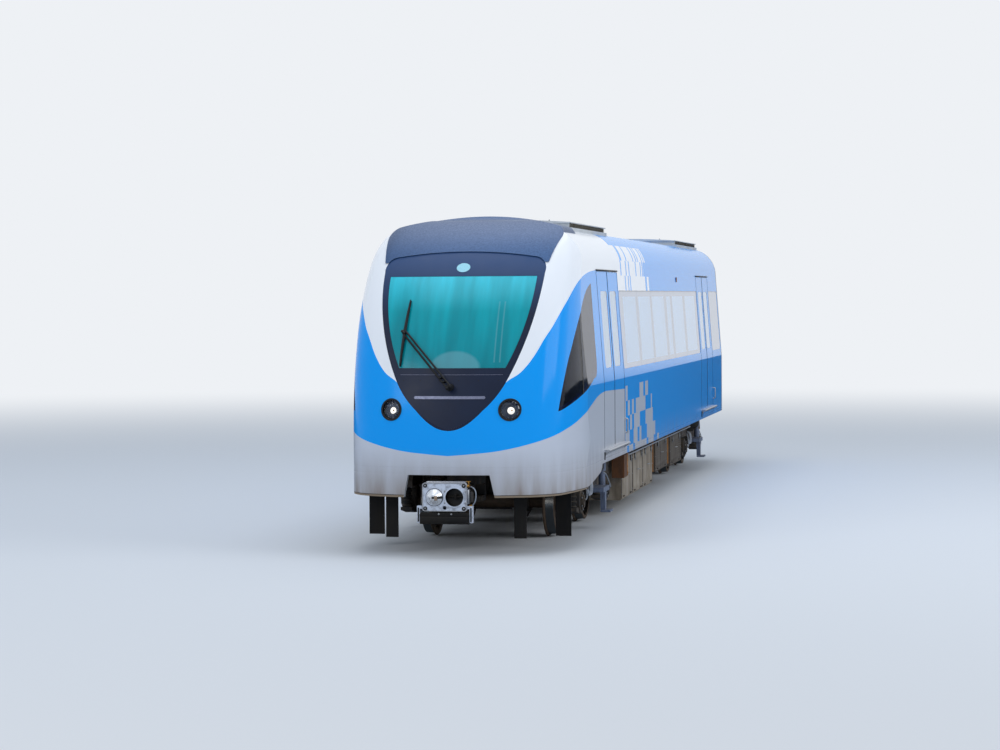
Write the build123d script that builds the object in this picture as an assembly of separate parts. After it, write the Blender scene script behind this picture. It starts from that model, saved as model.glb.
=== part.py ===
import os
from math import asin, atan, cos, pi, radians, sin, tan

from build123d import *

os.makedirs("parts", exist_ok=True)

# Cab-end metro car. Millimetres, +Z up, Z 0 under the wheel flanges.
# The nose faces -Y and +X is the car's left. Stations run back from the nose tip
# and are moved to the middle of the car's length when the pieces are written.

# Main sizes
body_length = 17130
body_half = 1350
wall = 80
body_bottom = 880
floor_top = 1040
waist = 1850
cantrail = 3290
lean_in = 105
shoulder_radius = 450
crown_angle = 5
seam = 0.5
seat_gap = 0.3
running_gap = 6
end_wall = 80
ceiling_height = 3225

# Nose
nose_joint = 2650
nose_wall = 70
bumper_top = 1000
skirt_bottom = 658
corner_turn = 76.2
flank_margin = 6
glass_thickness = 25

# Doors and windows
door_width = 1790
door_front = 2796
rear_door_reach = 1542
door_top = 3195
leaf_thickness = 45
threshold = 8
leaf_gap = 4
sill_depth = 70
sill_height = 28
window_bottom = 1963
window_top = 2964
window_corner = 70
ribbon_gap = 50
pane_inset = 3
unit_joint = 8

# Running gear
bogie_front = 3690
rear_bogie_reach = 2440
wheelbase = 2100
tread_radius = 395
flange_height = 28
wheel_width = 135
flange_width = 32
wheel_back = 676.5
axle_radius = 80
journal_radius = 65
journal_gap = 0.3
pivot_radius = 80

axle_height = tread_radius + flange_height
body_rear = body_length
shell_rear = body_rear - end_wall
cantrail_half = body_half - lean_in
outside = body_half + 200
inner_half = body_half - wall
coupler_face = -310
gangway_length = 300
car_middle = (coupler_face + body_rear + gangway_length) / 2


def along_y(face, start, end):
    # face drawn in X and Z, pushed from station start to station end
    return extrude(Pos(0, end, 0) * (Plane.XZ * face), amount=end - start, dir=(0, -1, 0))


def along_x(face, start, end):
    # face drawn in Y and Z
    return extrude(Pos(start, 0, 0) * (Plane.YZ * face), amount=end - start, dir=(1, 0, 0))


def along_z(face, start, end):
    return extrude(Pos(0, 0, start) * face, amount=end - start, dir=(0, 0, 1))


def block(x, y, z):
    # x, y and z are pairs of limits
    size = [high - low for low, high in (x, y, z)]
    centre = [(high + low) / 2 for low, high in (x, y, z)]
    return Pos(*centre) * Box(*size)


def outline(*edges):
    return Face(Wire(list(edges)))


def polygon(*points):
    return make_face(Polyline(*points, close=True))


def both_sides(shape):
    return [shape, mirror(shape, about=Plane.YZ)]


def cylinder_x(radius, start, end, y, z):
    return Pos((start + end) / 2, y, z) * Rot(0, 90, 0) * Cylinder(radius, end - start)


def cylinder_y(radius, x, start, end, z):
    return Pos(x, (start + end) / 2, z) * Rot(90, 0, 0) * Cylinder(radius, end - start)


def cylinder_z(radius, x, y, start, end):
    return Pos(x, y, (start + end) / 2) * Cylinder(radius, end - start)


written = []


def write(name, *shapes):
    solids = [solid for shape in shapes for solid in shape.solids()]
    group = Compound(children=[solid.moved(Location((0, -car_middle, 0))) for solid in solids])
    export_step(group, f"parts/{name}.step")
    written.append(name)


# Body cross-section: upright side, side leaning in to the cantrail, shoulder arc, crown arc
lean = atan((body_half - cantrail_half) / (cantrail - waist))
shoulder_x = cantrail_half - shoulder_radius * cos(lean)
shoulder_z = cantrail - shoulder_radius * sin(lean)
crown_turn = radians(90 - crown_angle)


def shoulder_point(angle, inset):
    reach = shoulder_radius - inset
    return shoulder_x + reach * cos(angle), shoulder_z + reach * sin(angle)


def crown_top(inset):
    edge_x, edge_z = shoulder_point(crown_turn, inset)
    return edge_z + edge_x * tan(radians(crown_angle) / 2)


def body_section(inset, bottom=body_bottom):
    knee = (body_half - inset, waist - inset * tan(lean / 2))
    foot = (body_half - inset, bottom)
    cant = shoulder_point(lean, inset)
    middle = shoulder_point((lean + crown_turn) / 2, inset)
    edge = shoulder_point(crown_turn, inset)
    top = (0, crown_top(inset))

    def other(point):
        return -point[0], point[1]

    return outline(
        Line(other(foot), foot),
        Line(foot, knee),
        Line(knee, cant),
        ThreePointArc(cant, middle, edge),
        ThreePointArc(edge, top, other(edge)),
        ThreePointArc(other(edge), other(middle), other(cant)),
        Line(other(cant), other(knee)),
        Line(other(knee), other(foot)),
    )


def section_half(level):
    # half width of the body at a level, up to the cantrail
    if level < waist:
        return body_half
    return body_half - (level - waist) * tan(lean)


# Nose plans. Columns: level, front tip, front radius, distance of the front arc's end in
# from the side, corner radius, extra depth of the wall where the front leans back
nose_plans = [
    (600, -28, 2300, 480, 560, 0),
    (1100, -35, 2300, 482, 560, 0),
    (1450, 0, 2350, 470, 550, 0),
    (1830, 80, 2450, 450, 520, 4),
    (2230, 228, 2700, 403, 470, 9),
    (2630, 450, 3100, 366, 430, 16),
    (3030, 745, 3500, 340, 390, 28),
    (3330, 1050, 3900, 334, 360, 50),
    (3560, 1400, 4200, 383, 340, 90),
    (3720, 1790, 4400, 431, 330, 160),
    (3800, 2110, 4400, 478, 330, 220),
    (3860, 2400, 4400, 541, 330, 240),
]


def nose_plan(level, tip, front_radius, set_in, corner_radius, inset, back):
    # front arc, corner arc and flank arc run into one another, then a straight side
    half = section_half(min(level, cantrail)) + flank_margin
    front_half = half - set_in
    front_turn = asin(front_half / front_radius)
    side_turn = radians(corner_turn)
    corner_x = front_half - corner_radius * sin(front_turn)
    corner_y = tip + front_radius - (front_radius - corner_radius) * cos(front_turn)
    flank_start = corner_x + corner_radius * sin(side_turn)
    flank_radius = (half - flank_start) / (1 - sin(side_turn))
    flank_x = half - flank_radius
    flank_y = corner_y + (flank_radius - corner_radius) * cos(side_turn)

    def on_arc(x, y, radius, angle):
        return x + (radius - inset) * sin(angle), y - (radius - inset) * cos(angle)

    def other(point):
        return -point[0], point[1]

    front_end = on_arc(0, tip + front_radius, front_radius, front_turn)
    corner_middle = on_arc(corner_x, corner_y, corner_radius, (front_turn + side_turn) / 2)
    corner_end = on_arc(corner_x, corner_y, corner_radius, side_turn)
    flank_middle = on_arc(flank_x, flank_y, flank_radius, (side_turn + pi / 2) / 2)
    flank_end = (half - inset, flank_y)
    rear = (half - inset, back)
    return Wire([
        ThreePointArc(other(front_end), (0, tip + inset), front_end),
        ThreePointArc(front_end, corner_middle, corner_end),
        ThreePointArc(corner_end, flank_middle, flank_end),
        Line(flank_end, rear),
        Line(rear, other(rear)),
        Line(other(rear), other(flank_end)),
        ThreePointArc(other(flank_end), other(flank_middle), other(corner_end)),
        ThreePointArc(other(corner_end), other(corner_middle), other(front_end)),
    ])


def nose_loft(inset, back):
    wires = []
    for level, tip, front_radius, set_in, corner_radius, extra in nose_plans:
        set_back = tip + (extra if inset else 0)
        wire = nose_plan(level, set_back, front_radius, set_in, corner_radius, inset, back)
        wires.append(wire.moved(Location((0, 0, level))))
    return Part() + Solid.make_loft(wires)


deck_low = 500
nose_outer = nose_loft(0, nose_joint + 200)
nose_front = nose_outer & along_y(body_section(0, deck_low), -500, nose_joint)
nose_space = nose_loft(nose_wall, nose_joint + 200)
nose_inner = nose_space & along_y(body_section(wall, deck_low), -500, nose_joint)
nose_skin = nose_front - nose_inner

# Front outlines, in X and Z
mask_tip = 1412
mask_side = (632, 1962)
mask_corner = (936, 3175)
mask_top_end = (820, 3352)
mask_top = 3415


def mirrored(points):
    return [(-x, z) for x, z in points]


def mask_outline():
    low_bulge = (315, 1576)
    side_bulge = (836, 2507)
    corner_bulge = (915, 3288)
    right = [
        ThreePointArc((0, mask_tip), low_bulge, mask_side),
        ThreePointArc(mask_side, side_bulge, mask_corner),
        ThreePointArc(mask_corner, corner_bulge, mask_top_end),
    ]
    left = [
        ThreePointArc(*mirrored([mask_top_end, corner_bulge, mask_corner])),
        ThreePointArc(*mirrored([mask_corner, side_bulge, mask_side])),
        ThreePointArc(*mirrored([mask_side, low_bulge, (0, mask_tip)])),
    ]
    top = ThreePointArc(mask_top_end, (0, mask_top), (-mask_top_end[0], mask_top_end[1]))
    return outline(*right, top, *left)


glass_low = (607, 2098)
glass_high = (854, 3128)


def glass_outline():
    bulge = (770, 2530)
    return outline(
        Line((-glass_low[0], glass_low[1]), glass_low),
        ThreePointArc(glass_low, bulge, glass_high),
        Line(glass_high, (-glass_high[0], glass_high[1])),
        ThreePointArc(*mirrored([glass_high, bulge, glass_low])),
    )


hood_low = (958, 3290)
hood_high = (1062, 3690)
hood_top = 3855
hood_proud = 18
hood_corner = 120


def hood_outline():
    bulge = (1008, 3500)
    sharp = outline(
        Line((-hood_low[0], hood_low[1]), hood_low),
        ThreePointArc(hood_low, bulge, hood_high),
        ThreePointArc(hood_high, (0, hood_top), (-hood_high[0], hood_high[1])),
        ThreePointArc(*mirrored([hood_high, bulge, hood_low])),
    )
    return fillet(sharp.vertices().sort_by(Axis.Y)[-2:], hood_corner).face()


def grown(face, amount):
    return offset(face, amount=amount, kind=Kind.ARC).face()


nose_reach = (-500, 1700)
mask_prism = along_y(mask_outline(), *nose_reach)
mask_hole = along_y(grown(mask_outline(), seam), *nose_reach)
glass_prism = along_y(glass_outline(), *nose_reach)
glass_hole = along_y(grown(glass_outline(), seam), *nose_reach)
hood_prism = along_y(hood_outline(), 0, nose_joint)
hood_hole = along_y(grown(hood_outline(), seam), 0, nose_joint)

# Hood, standing proud of the mask and falling to the roof behind its highest point
hood_crest = 2350
hood_tail = crown_top(0) + 4
hood_side = polygon(
    (500, 3200), (hood_crest, 3200), (nose_joint, 3200), (nose_joint, hood_tail),
    (hood_crest, hood_top + 20), (500, hood_top + 20),
)
hood_body = (nose_outer.moved(Location((0, -hood_proud, 0))) & hood_prism) & along_x(hood_side, -1200, 1200)
visor_hood = hood_body - mask_hole - nose_inner
write("visor_hood", visor_hood)

# Mask round the windscreen, with the service hatch below a joint
hatch_top = 2028
below_hatch = block((-1100, 1100), nose_reach, (1300, hatch_top - seam / 2))
above_hatch = block((-1100, 1100), nose_reach, (hatch_top + seam / 2, 3500))
mask_wall = nose_skin & mask_prism
write("front_mask", (mask_wall & above_hatch) - glass_hole)
write("front_hatch", mask_wall & below_hatch)


glass_depth = 4
glass_front = nose_outer.moved(Location((0, glass_depth, 0))) & glass_prism
write("windscreen", glass_front - nose_outer.moved(Location((0, glass_depth + glass_thickness, 0))))

# Quarter window outline, in Y and Z
quarter_rear = 2300
quarter_top = 3045


def quarter_outline(grow):
    # pointed front tip, low edge rising to the rear, upright rear edge, long curved front edge
    tip = (450 - 2 * grow, 1605 - grow)
    low_end = (2060, 1935 - grow)
    rear_low = (quarter_rear + grow, 2130)
    rear_high = (quarter_rear + grow, quarter_top + grow)
    brow = (880 - 0.8 * grow, 2300 + 0.6 * grow)
    return outline(
        ThreePointArc(tip, (1120, 1745 - grow), low_end),
        ThreePointArc(low_end, (2240 + 0.7 * grow, 1985 - 0.7 * grow), rear_low),
        Line(rear_low, rear_high),
        ThreePointArc(rear_high, (1420 - 0.6 * grow, 2745 + 0.8 * grow), brow),
        ThreePointArc(brow, (610 - 0.9 * grow, 1960 + 0.4 * grow), tip),
    )


quarter_reach = (900, outside)
quarter_prism = along_x(quarter_outline(0), *quarter_reach)
quarter_hole = along_x(quarter_outline(seam), *quarter_reach)
quarter_bar = block(quarter_reach, (1245, 1275), (1600, 3200))
nose_shifted = nose_front.moved(Location((-glass_thickness, 0, 0)))
quarter_panes = (nose_front & (quarter_prism - quarter_bar)) - nose_shifted
quarter_frame = (nose_front & (quarter_prism & quarter_bar)) - nose_shifted
write("quarter_windows", *both_sides(quarter_panes))
write("quarter_bars", *both_sides(quarter_frame))

# Headlamps and the round marker lamp over the glass
lamp_x = 675
lamp_z = 1637
lamp_radius = 125
lens_radius = 103


def lamp_prism(radius):
    return Pos(lamp_x, 0, lamp_z) * Rot(90, 0, 0) * Cylinder(radius, 900)


bezel = (nose_outer.moved(Location((0, -8, 0))) & (lamp_prism(lamp_radius) - lamp_prism(lens_radius + seam)))
bezel = bezel - nose_inner
lens = (nose_outer.moved(Location((0, 10, 0))) & lamp_prism(lens_radius)) - nose_inner
write("headlamp_bezels", *both_sides(bezel))
write("headlamp_lenses", *both_sides(lens))
oval_z = 3228
oval_half = (78, 52)
oval_face = Pos(0, oval_z) * Ellipse(*oval_half)
oval_prism = along_y(oval_face, *nose_reach)
write("oval_lamp", (nose_outer.moved(Location((0, -5, 0))) & oval_prism) - nose_front)

# Light strip under the hatch joint
strip_face = Pos(0, 1773) * RectangleRounded(808, 32, 15)
write("nose_strip", (nose_outer.moved(Location((0, -6, 0))) & along_y(strip_face, *nose_reach)) - nose_front)

# Painted nose shell and the bumper skirt under it
headlamp_hole = lamp_prism(lamp_radius + seam)
nose_shell = nose_skin & block((-outside, outside), (-500, nose_joint), (bumper_top + seam / 2, 4000))
nose_shell = nose_shell - mask_hole - hood_hole
for side in (1, -1):
    nose_shell = nose_shell - (Pos(2 * lamp_x * (side - 1) / 2, 0, 0) * headlamp_hole)
nose_shell = nose_shell - quarter_hole - mirror(quarter_hole, about=Plane.YZ)
write("nose_shell", nose_shell)

pocket_low_half = 522
pocket_high_half = 464
pocket_top = 915
pocket_face = polygon(
    (-pocket_low_half - 8, 600), (pocket_low_half + 8, 600),
    (pocket_high_half, pocket_top), (-pocket_high_half, pocket_top),
)
skirt_side = polygon(
    (-500, skirt_bottom), (1300, skirt_bottom + 12), (1950, 728), (2480, 790), (2580, 830), (2610, body_bottom),
    (nose_joint, body_bottom), (nose_joint, bumper_top - seam / 2), (-500, bumper_top - seam / 2),
)
bumper = (nose_skin & along_x(skirt_side, -outside, outside)) - along_y(pocket_face, -500, 700)
write("nose_bumper", bumper)

# Body shell behind the nose
shell = along_y(body_section(0) - body_section(wall), nose_joint, shell_rear)
glass_seat = pane_inset + glass_thickness + seam
rear_door_front = body_rear - rear_door_reach - door_width
door_fronts = [door_front, rear_door_front]
ribbon_front = door_front + door_width + ribbon_gap
ribbon_rear = rear_door_front - ribbon_gap
panel_front = rear_door_front + door_width + ribbon_gap
panel_rear = shell_rear - ribbon_gap
frame_low = 65
frame_high = 79
clear_corner = 45
unit_corner = 10
# Glass units of the ribbon: width, solid frame before and after the clear pane
window_units = [
    (1740, 350, 140), (1490, 140, 120), (1640, 130, 160), (740, 160, 140), (1645, 150, 155), (1855, 155, 370),
]
unit_stretch = (ribbon_rear - ribbon_front) / sum(width for width, before, after in window_units)


def side_opening(front, rear, low, high, radius):
    face = Pos((front + rear) / 2, (low + high) / 2) * RectangleRounded(rear - front, high - low, radius)
    return along_x(face, 1000, outside)


def side_layer(near, far):
    # layer of the body's skin between two depths
    return along_y(body_section(near) - body_section(far), nose_joint, shell_rear)


def ribbon_shape(front, rear, margin):
    return side_opening(front + margin, rear - margin, window_bottom + margin, window_top - margin, window_corner)


left_wall = shell & block((0, outside), (nose_joint, shell_rear), (body_bottom, cantrail))
rebate = side_layer(0, glass_seat)
left_wall = left_wall - (rebate & ribbon_shape(ribbon_front, ribbon_rear, 0))
left_wall = left_wall - (rebate & ribbon_shape(panel_front, panel_rear, 0))
pane_layer = side_layer(pane_inset, pane_inset + glass_thickness)
ribbon_panes = pane_layer & ribbon_shape(ribbon_front, ribbon_rear, seam)
panes = [pane_layer & ribbon_shape(panel_front, panel_rear, seam)]
station = ribbon_front
for width, before, after in window_units:
    unit_end = station + width * unit_stretch
    clear = side_opening(station + before * unit_stretch, unit_end - after * unit_stretch,
                         window_bottom + frame_low, window_top - frame_high, clear_corner)
    left_wall = left_wall - clear
    unit = side_opening(station + unit_joint / 2, unit_end - unit_joint / 2,
                        window_bottom - unit_corner, window_top + unit_corner, unit_corner)
    panes.append(ribbon_panes & unit)
    station = unit_end
for front in door_fronts:
    doorway = block((1000, outside), (front, front + door_width), (floor_top + threshold, door_top))
    left_wall = left_wall - doorway
write("side_wall_left", left_wall)
write("side_wall_right", mirror(left_wall, about=Plane.YZ))
write("side_windows", *[copy for pane in panes for copy in both_sides(pane)])
write("roof_shell", shell & block((-outside, outside), (nose_joint, shell_rear), (cantrail, 4000)))

# Ceiling tray between the walls, with two raised coves for the lamps
ceiling_depth = 45
cove_near = 380
cove_far = 560
cove_rise = 25
ceiling_half = [
    (0, ceiling_height), (cove_near, ceiling_height), (cove_near + 15, ceiling_height + cove_rise),
    (cove_far - 15, ceiling_height + cove_rise), (cove_far, ceiling_height), (inner_half, ceiling_height),
    (inner_half, ceiling_height + ceiling_depth),
]
ceiling_face = polygon(*ceiling_half, *[(-x, z) for x, z in reversed(ceiling_half[1:])])
saloon = along_y(body_section(wall + seat_gap), nose_joint, shell_rear)
write("ceiling_panels", along_y(ceiling_face, nose_joint, shell_rear - seat_gap) & saloon)

# Door leaves, two to a doorway, each with its own flush window nearer the meeting edge
leaf_layer = side_layer(0, leaf_thickness)
leaf_width = (door_width - 3 * leaf_gap) / 2
door_glass_low = 2016
door_glass_high = 2953
outer_stile = 220
inner_stile = 120
seal_width = 14
leaves = []
door_panes = []
for front in door_fronts:
    for start, first_stile in ((front + leaf_gap, outer_stile), (front + 2 * leaf_gap + leaf_width, inner_stile)):
        room = block((0, outside), (start, start + leaf_width), (floor_top + threshold, door_top - leaf_gap))
        glass_start = start + first_stile
        glass_end = glass_start + leaf_width - outer_stile - inner_stile
        hole = side_opening(glass_start, glass_end, door_glass_low, door_glass_high, window_corner)
        pane = side_opening(glass_start + seam, glass_end - seam, door_glass_low + seam, door_glass_high - seam, window_corner)
        leaves.append((leaf_layer & room) - hole)
        door_panes.append(pane_layer & pane)
write("door_leaves", *[copy for leaf in leaves for copy in both_sides(leaf)])
write("door_windows", *[copy for pane in door_panes for copy in both_sides(pane)])
sills = []
sill_top = floor_top - 4
sill_reach = 30
for front in door_fronts:
    y_range = (front - sill_reach, front + door_width + sill_reach)
    sill = block((body_half, body_half + sill_depth), y_range, (sill_top - sill_height, sill_top))
    sill = chamfer(sill.edges().filter_by(Axis.Y).sort_by(Axis.X)[-2:], 8)
    for place in (front, front + door_width - 50):
        gusset = polygon((body_half, sill_top - sill_height), (body_half + sill_depth - 12, sill_top - sill_height),
                         (body_half, sill_top - sill_height - 45))
        sill = sill + along_y(gusset, place, place + 50)
    sills.append(sill)
write("door_sills", *[copy for sill in sills for copy in both_sides(sill)])

# Underframe: floor slab, side sills, bolsters, draft sills, cross bearers and pivot pins
floor_slab = 80
slab_bottom = floor_top - floor_slab
rib_levels = (body_bottom, slab_bottom)
side_sill = 140
rail_half = 40
bearer_half = 35
bolster_half = 420
draft_half = 260
pin_bottom = 500
bogie_rear = body_rear - rear_bogie_reach
bogie_centres = [bogie_front, bogie_rear]
bearer_count = 8
bearer_lead = 2060
bearer_tail = 2640
bearer_pitch = (bogie_rear - bearer_tail - bogie_front - bearer_lead) / (bearer_count - 1)
bearers = [bogie_front + bearer_lead + index * bearer_pitch for index in range(bearer_count)]
case_inner = 560
coupler_pivot = 1000
drawbar_pivot = body_rear - 700
pocket_half = 160
nose_members = [(420, 600), (1180, 1340)]

slab_nose = nose_inner & block((-outside, outside), (-500, nose_joint), (slab_bottom, floor_top))
slab_body = along_y(body_section(wall), nose_joint, shell_rear)
slab_body = slab_body & block((-outside, outside), (nose_joint, shell_rear), (slab_bottom, floor_top))
underframe = slab_nose + slab_body
for side in (-1, 1):
    sill_range = sorted((side * (inner_half - side_sill), side * inner_half))
    underframe = underframe + block(sill_range, (nose_joint, shell_rear), rib_levels)
    rail_range = sorted((side * (case_inner + rail_half - 20), side * (case_inner + 3 * rail_half - 20)))
    underframe = underframe + block(rail_range, (bearers[0] - 100, bearers[-1] + 100), rib_levels)
for low, high in nose_members:
    underframe = underframe + (nose_inner & block((-outside, outside), (low, high), rib_levels))
for centre in bogie_centres:
    underframe = underframe + block((-inner_half, inner_half), (centre - bolster_half, centre + bolster_half), rib_levels)
for station in bearers:
    underframe = underframe + block((-inner_half, inner_half), (station - bearer_half, station + bearer_half), rib_levels)
for low, high in ((coupler_pivot - pocket_half - 60, bogie_front), (bogie_rear, shell_rear)):
    underframe = underframe + block((-draft_half, draft_half), (low, high), rib_levels)
pivots = []
for centre in bogie_centres:
    pivot = cylinder_z(pivot_radius, 0, centre, pin_bottom, body_bottom)
    pivots.append(pivot + cylinder_z(pivot_radius + 120, 0, centre, body_bottom - 90, body_bottom))
write("underframe", underframe, *pivots)

# Rear end wall with the gangway opening, its raised surround and corner posts
gangway_half = 650
gangway_high = 3060
post_half = 45
post_depth = 14
end_plate = along_y(body_section(0), shell_rear, body_rear)
gangway_door = block((-gangway_half, gangway_half), (shell_rear - 50, body_rear + 50), (floor_top, gangway_high))
for side in (-1, 1):
    post_x = sorted((side * (body_half - 190 - 2 * post_half), side * (body_half - 190)))
    post = block(post_x, (body_rear, body_rear + post_depth), (body_bottom + 60, cantrail - 320))
    end_plate = end_plate + chamfer(post.faces().sort_by(Axis.Y)[-1].edges(), 10)
write("rear_end_wall", end_plate - gangway_door)

# Gangway bellows: folds made by a loop of rings, and its end frame
bellows_half = 800
bellows_low = 960
bellows_high = 3240
bellows_corner = 160
fold_count = 6
fold_proud = 45
frame_depth = 40
fold_pitch = (gangway_length - frame_depth) / fold_count
gangway_passage = polygon((-gangway_half, floor_top), (gangway_half, floor_top), (gangway_half, gangway_high),
                          (-gangway_half, gangway_high))


def gangway_ring(outer, start, end):
    width = 2 * (bellows_half + outer)
    height = bellows_high - bellows_low + 2 * outer
    centre = (bellows_high + bellows_low) / 2
    ring = (Pos(0, centre) * RectangleRounded(width, height, bellows_corner)) - gangway_passage
    return along_y(ring, start, end)


bellows = gangway_ring(0, body_rear, body_rear + gangway_length - frame_depth)
for fold in range(fold_count):
    start = body_rear + fold * fold_pitch
    bellows = bellows + gangway_ring(fold_proud, start + 0.2 * fold_pitch, start + 0.6 * fold_pitch)
write("gangway_bellows", bellows)
write("gangway_frame", gangway_ring(30, body_rear + gangway_length - frame_depth, body_rear + gangway_length))
bar = block((1150, 1200), (body_rear, body_rear + 120), (3000, 3180))
write("gangway_bars", *both_sides(fillet(bar.edges().filter_by(Axis.X), 20)))

# Side indicator lamps over the ribbon
roof_outer = along_y(body_section(0), nose_joint, shell_rear)
lamp_reach = 2758
lamp_length = 80
lamp_front = rear_door_front - lamp_reach
lamp_block = block((cantrail_half - 5, cantrail_half + 23), (lamp_front, lamp_front + lamp_length), (3100, 3170))
write("side_lamps", *both_sides(lamp_block - roof_outer))

# Roof units: curb, housing, curved lid and two fan openings with ring guards
unit_front_reach = 300
unit_rear_reach = 280
unit_length = 2900
curb_half = 940
unit_half = 900
unit_top = 3830
unit_crown = 35
curb_top = 3728
lid_edge = 12
lid_low = unit_top - unit_crown - lid_edge
fan_radius = 330
fan_depth = 30
guard_wire = 9
guard_rings = 4
blade_count = 5
roof_base = 3500


def unit_lid(low):
    edge_z = unit_top - unit_crown
    half = unit_half + 28
    return outline(
        Line((-half, low), (half, low)),
        Line((half, low), (half, edge_z)),
        ThreePointArc((half, edge_z), (0, unit_top), (-half, edge_z)),
        Line((-half, edge_z), (-half, low)),
    )


def fan_guard(station):
    rings = []
    for index in range(guard_rings):
        outer = fan_radius * (index + 1) / guard_rings - guard_wire / 2
        ring = Cylinder(outer, fan_depth) - Cylinder(outer - guard_wire, fan_depth)
        rings.append(Pos(0, station, unit_top - fan_depth / 2 - 6) * ring)
    spokes = [
        Pos(0, station, unit_top - fan_depth / 2 - 6) * Rot(0, 0, 45 * index) * Box(2 * fan_radius, guard_wire, fan_depth)
        for index in range(4)
    ]
    return rings + spokes


def louvres(start, end):
    # slanting blades, drawn as one toothed profile and pushed along the unit
    pitch = (lid_low - curb_top) / blade_count
    teeth = []
    for index in range(blade_count):
        low = curb_top + index * pitch
        teeth += [(unit_half + 24, low), (unit_half + 8, low + pitch * 0.8)]
    return along_y(polygon((unit_half, curb_top), *teeth, (unit_half + 8, lid_low), (unit_half, lid_low)), start, end)


unit_fronts = [nose_joint + unit_front_reach, body_rear - unit_rear_reach - unit_length]
units = []
grilles = []
for start in unit_fronts:
    end = start + unit_length
    unit = block((-curb_half, curb_half), (start - 40, end + 40), (roof_base, curb_top)) - roof_outer
    unit = unit + (block((-unit_half, unit_half), (start, end), (roof_base, lid_low + 1)) - roof_outer)
    unit = unit + along_y(unit_lid(lid_low), start - 20, end + 20)
    for share in (0.28, 0.72):
        fan = start + share * unit_length
        unit = unit - cylinder_z(fan_radius + 4, 0, fan, unit_top - fan_depth - 6, unit_top + 20)
        for piece in fan_guard(fan):
            unit = unit + piece
    units.append(unit)
    grilles.append(louvres(start + 60, end - 60))
write("roof_units", *units)
write("roof_grilles", *[copy for grille in grilles for copy in both_sides(grille)])

# Saloon: moulded benches with end panels under the windows, grab poles, front console
bench_margin = 160
bench_space = 300
bench_count = 3
seat_pitch = 450
seat_front = 830
bench_back = inner_half - 8
bench_profile = [
    (bench_back, floor_top), (bench_back - 72, floor_top), (bench_back - 162, 1400), (seat_front + 20, 1415),
    (seat_front, 1440), (seat_front + 10, 1482), (1120, 1470), (1165, 1500), (bench_back - 50, 1880), (bench_back, 1880),
]
panel_profile = [(bench_back, floor_top), (seat_front - 10, floor_top), (seat_front - 10, 1560), (bench_back - 150, 1905),
                 (bench_back, 1905)]
panel_thickness = 30
bench_start = door_front + door_width + bench_margin
bench_room = rear_door_front - bench_margin - bench_start
bench_length = (bench_room - (bench_count - 1) * bench_space) / bench_count
benches = []
for index in range(bench_count):
    start = bench_start + index * (bench_length + bench_space)
    end = start + bench_length
    bench = along_y(polygon(*bench_profile), start, end)
    seats = max(1, round(bench_length / seat_pitch))
    for split in range(1, seats):
        joint = start + split * bench_length / seats
        bench = bench - block((0, bench_back - 40), (joint - 4, joint + 4), (1455, 1900))
    for near in (start, end - panel_thickness):
        bench = bench + along_y(polygon(*panel_profile), near, near + panel_thickness)
    benches.append(bench)
write("seat_benches", *[copy for bench in benches for copy in both_sides(bench)])

pole_x = 780
pole_radius = 17
handrail_radius = 14
rail_height = 2950
pole_stations = [bench_start - bench_space / 2 + index * (bench_length + bench_space) for index in range(bench_count + 1)]
poles = cylinder_y(handrail_radius, pole_x, pole_stations[0], pole_stations[-1], rail_height)
for station in pole_stations:
    poles = poles + cylinder_z(pole_radius, pole_x, station, floor_top, ceiling_height)
write("grab_poles", *both_sides(poles))
console_half = 620
console_side = polygon((430, floor_top), (900, floor_top), (980, 1700), (900, 1850), (470, 1960), (430, 1700))
console = along_x(console_side, -console_half, console_half)
write("front_console", fillet(console.edges().filter_by(Axis.X).sort_by(Axis.Z)[-2:], 40))

# Wiper: pivot boss, twin rods and a two-piece blade standing just off the glass
wiper_pivot = (14, 12, 1888)
wiper_joint = (-580, 398, 2500)
blade_low = (-590, 226, 2112)
blade_high = (-550, 620, 2845)


def rod(start, end, radius):
    path = Vector(*end) - Vector(*start)
    return Part() + Solid.make_cylinder(radius, path.length, Plane(origin=start, z_dir=path))


def shifted(point, *by):
    return tuple(value + change for value, change in zip(point, by))


wiper = cylinder_y(34, wiper_pivot[0], wiper_pivot[1] - 12, wiper_pivot[1] + 120, wiper_pivot[2])
for side in (-1, 1):
    wiper = wiper + rod(shifted(wiper_pivot, 18 * side, 0, 12 * side), shifted(wiper_joint, 14 * side, 0, 14 * side), 9)
wiper = wiper + rod(shifted(wiper_joint, -26, 0, -26), shifted(wiper_joint, 26, 0, 26), 14)
wiper = wiper + rod(blade_low, wiper_joint, 12) + rod(wiper_joint, blade_high, 12)
write("wiper", wiper - nose_outer)

# Under the floor: cases hung from the bearers, with door joints and louvres
case_outer = 1175
case_overhang = 260
case_round = 25
strap_half = 20
groove = 6
slot_depth = 12
slot_pitch = 34
slot_count = 7
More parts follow.
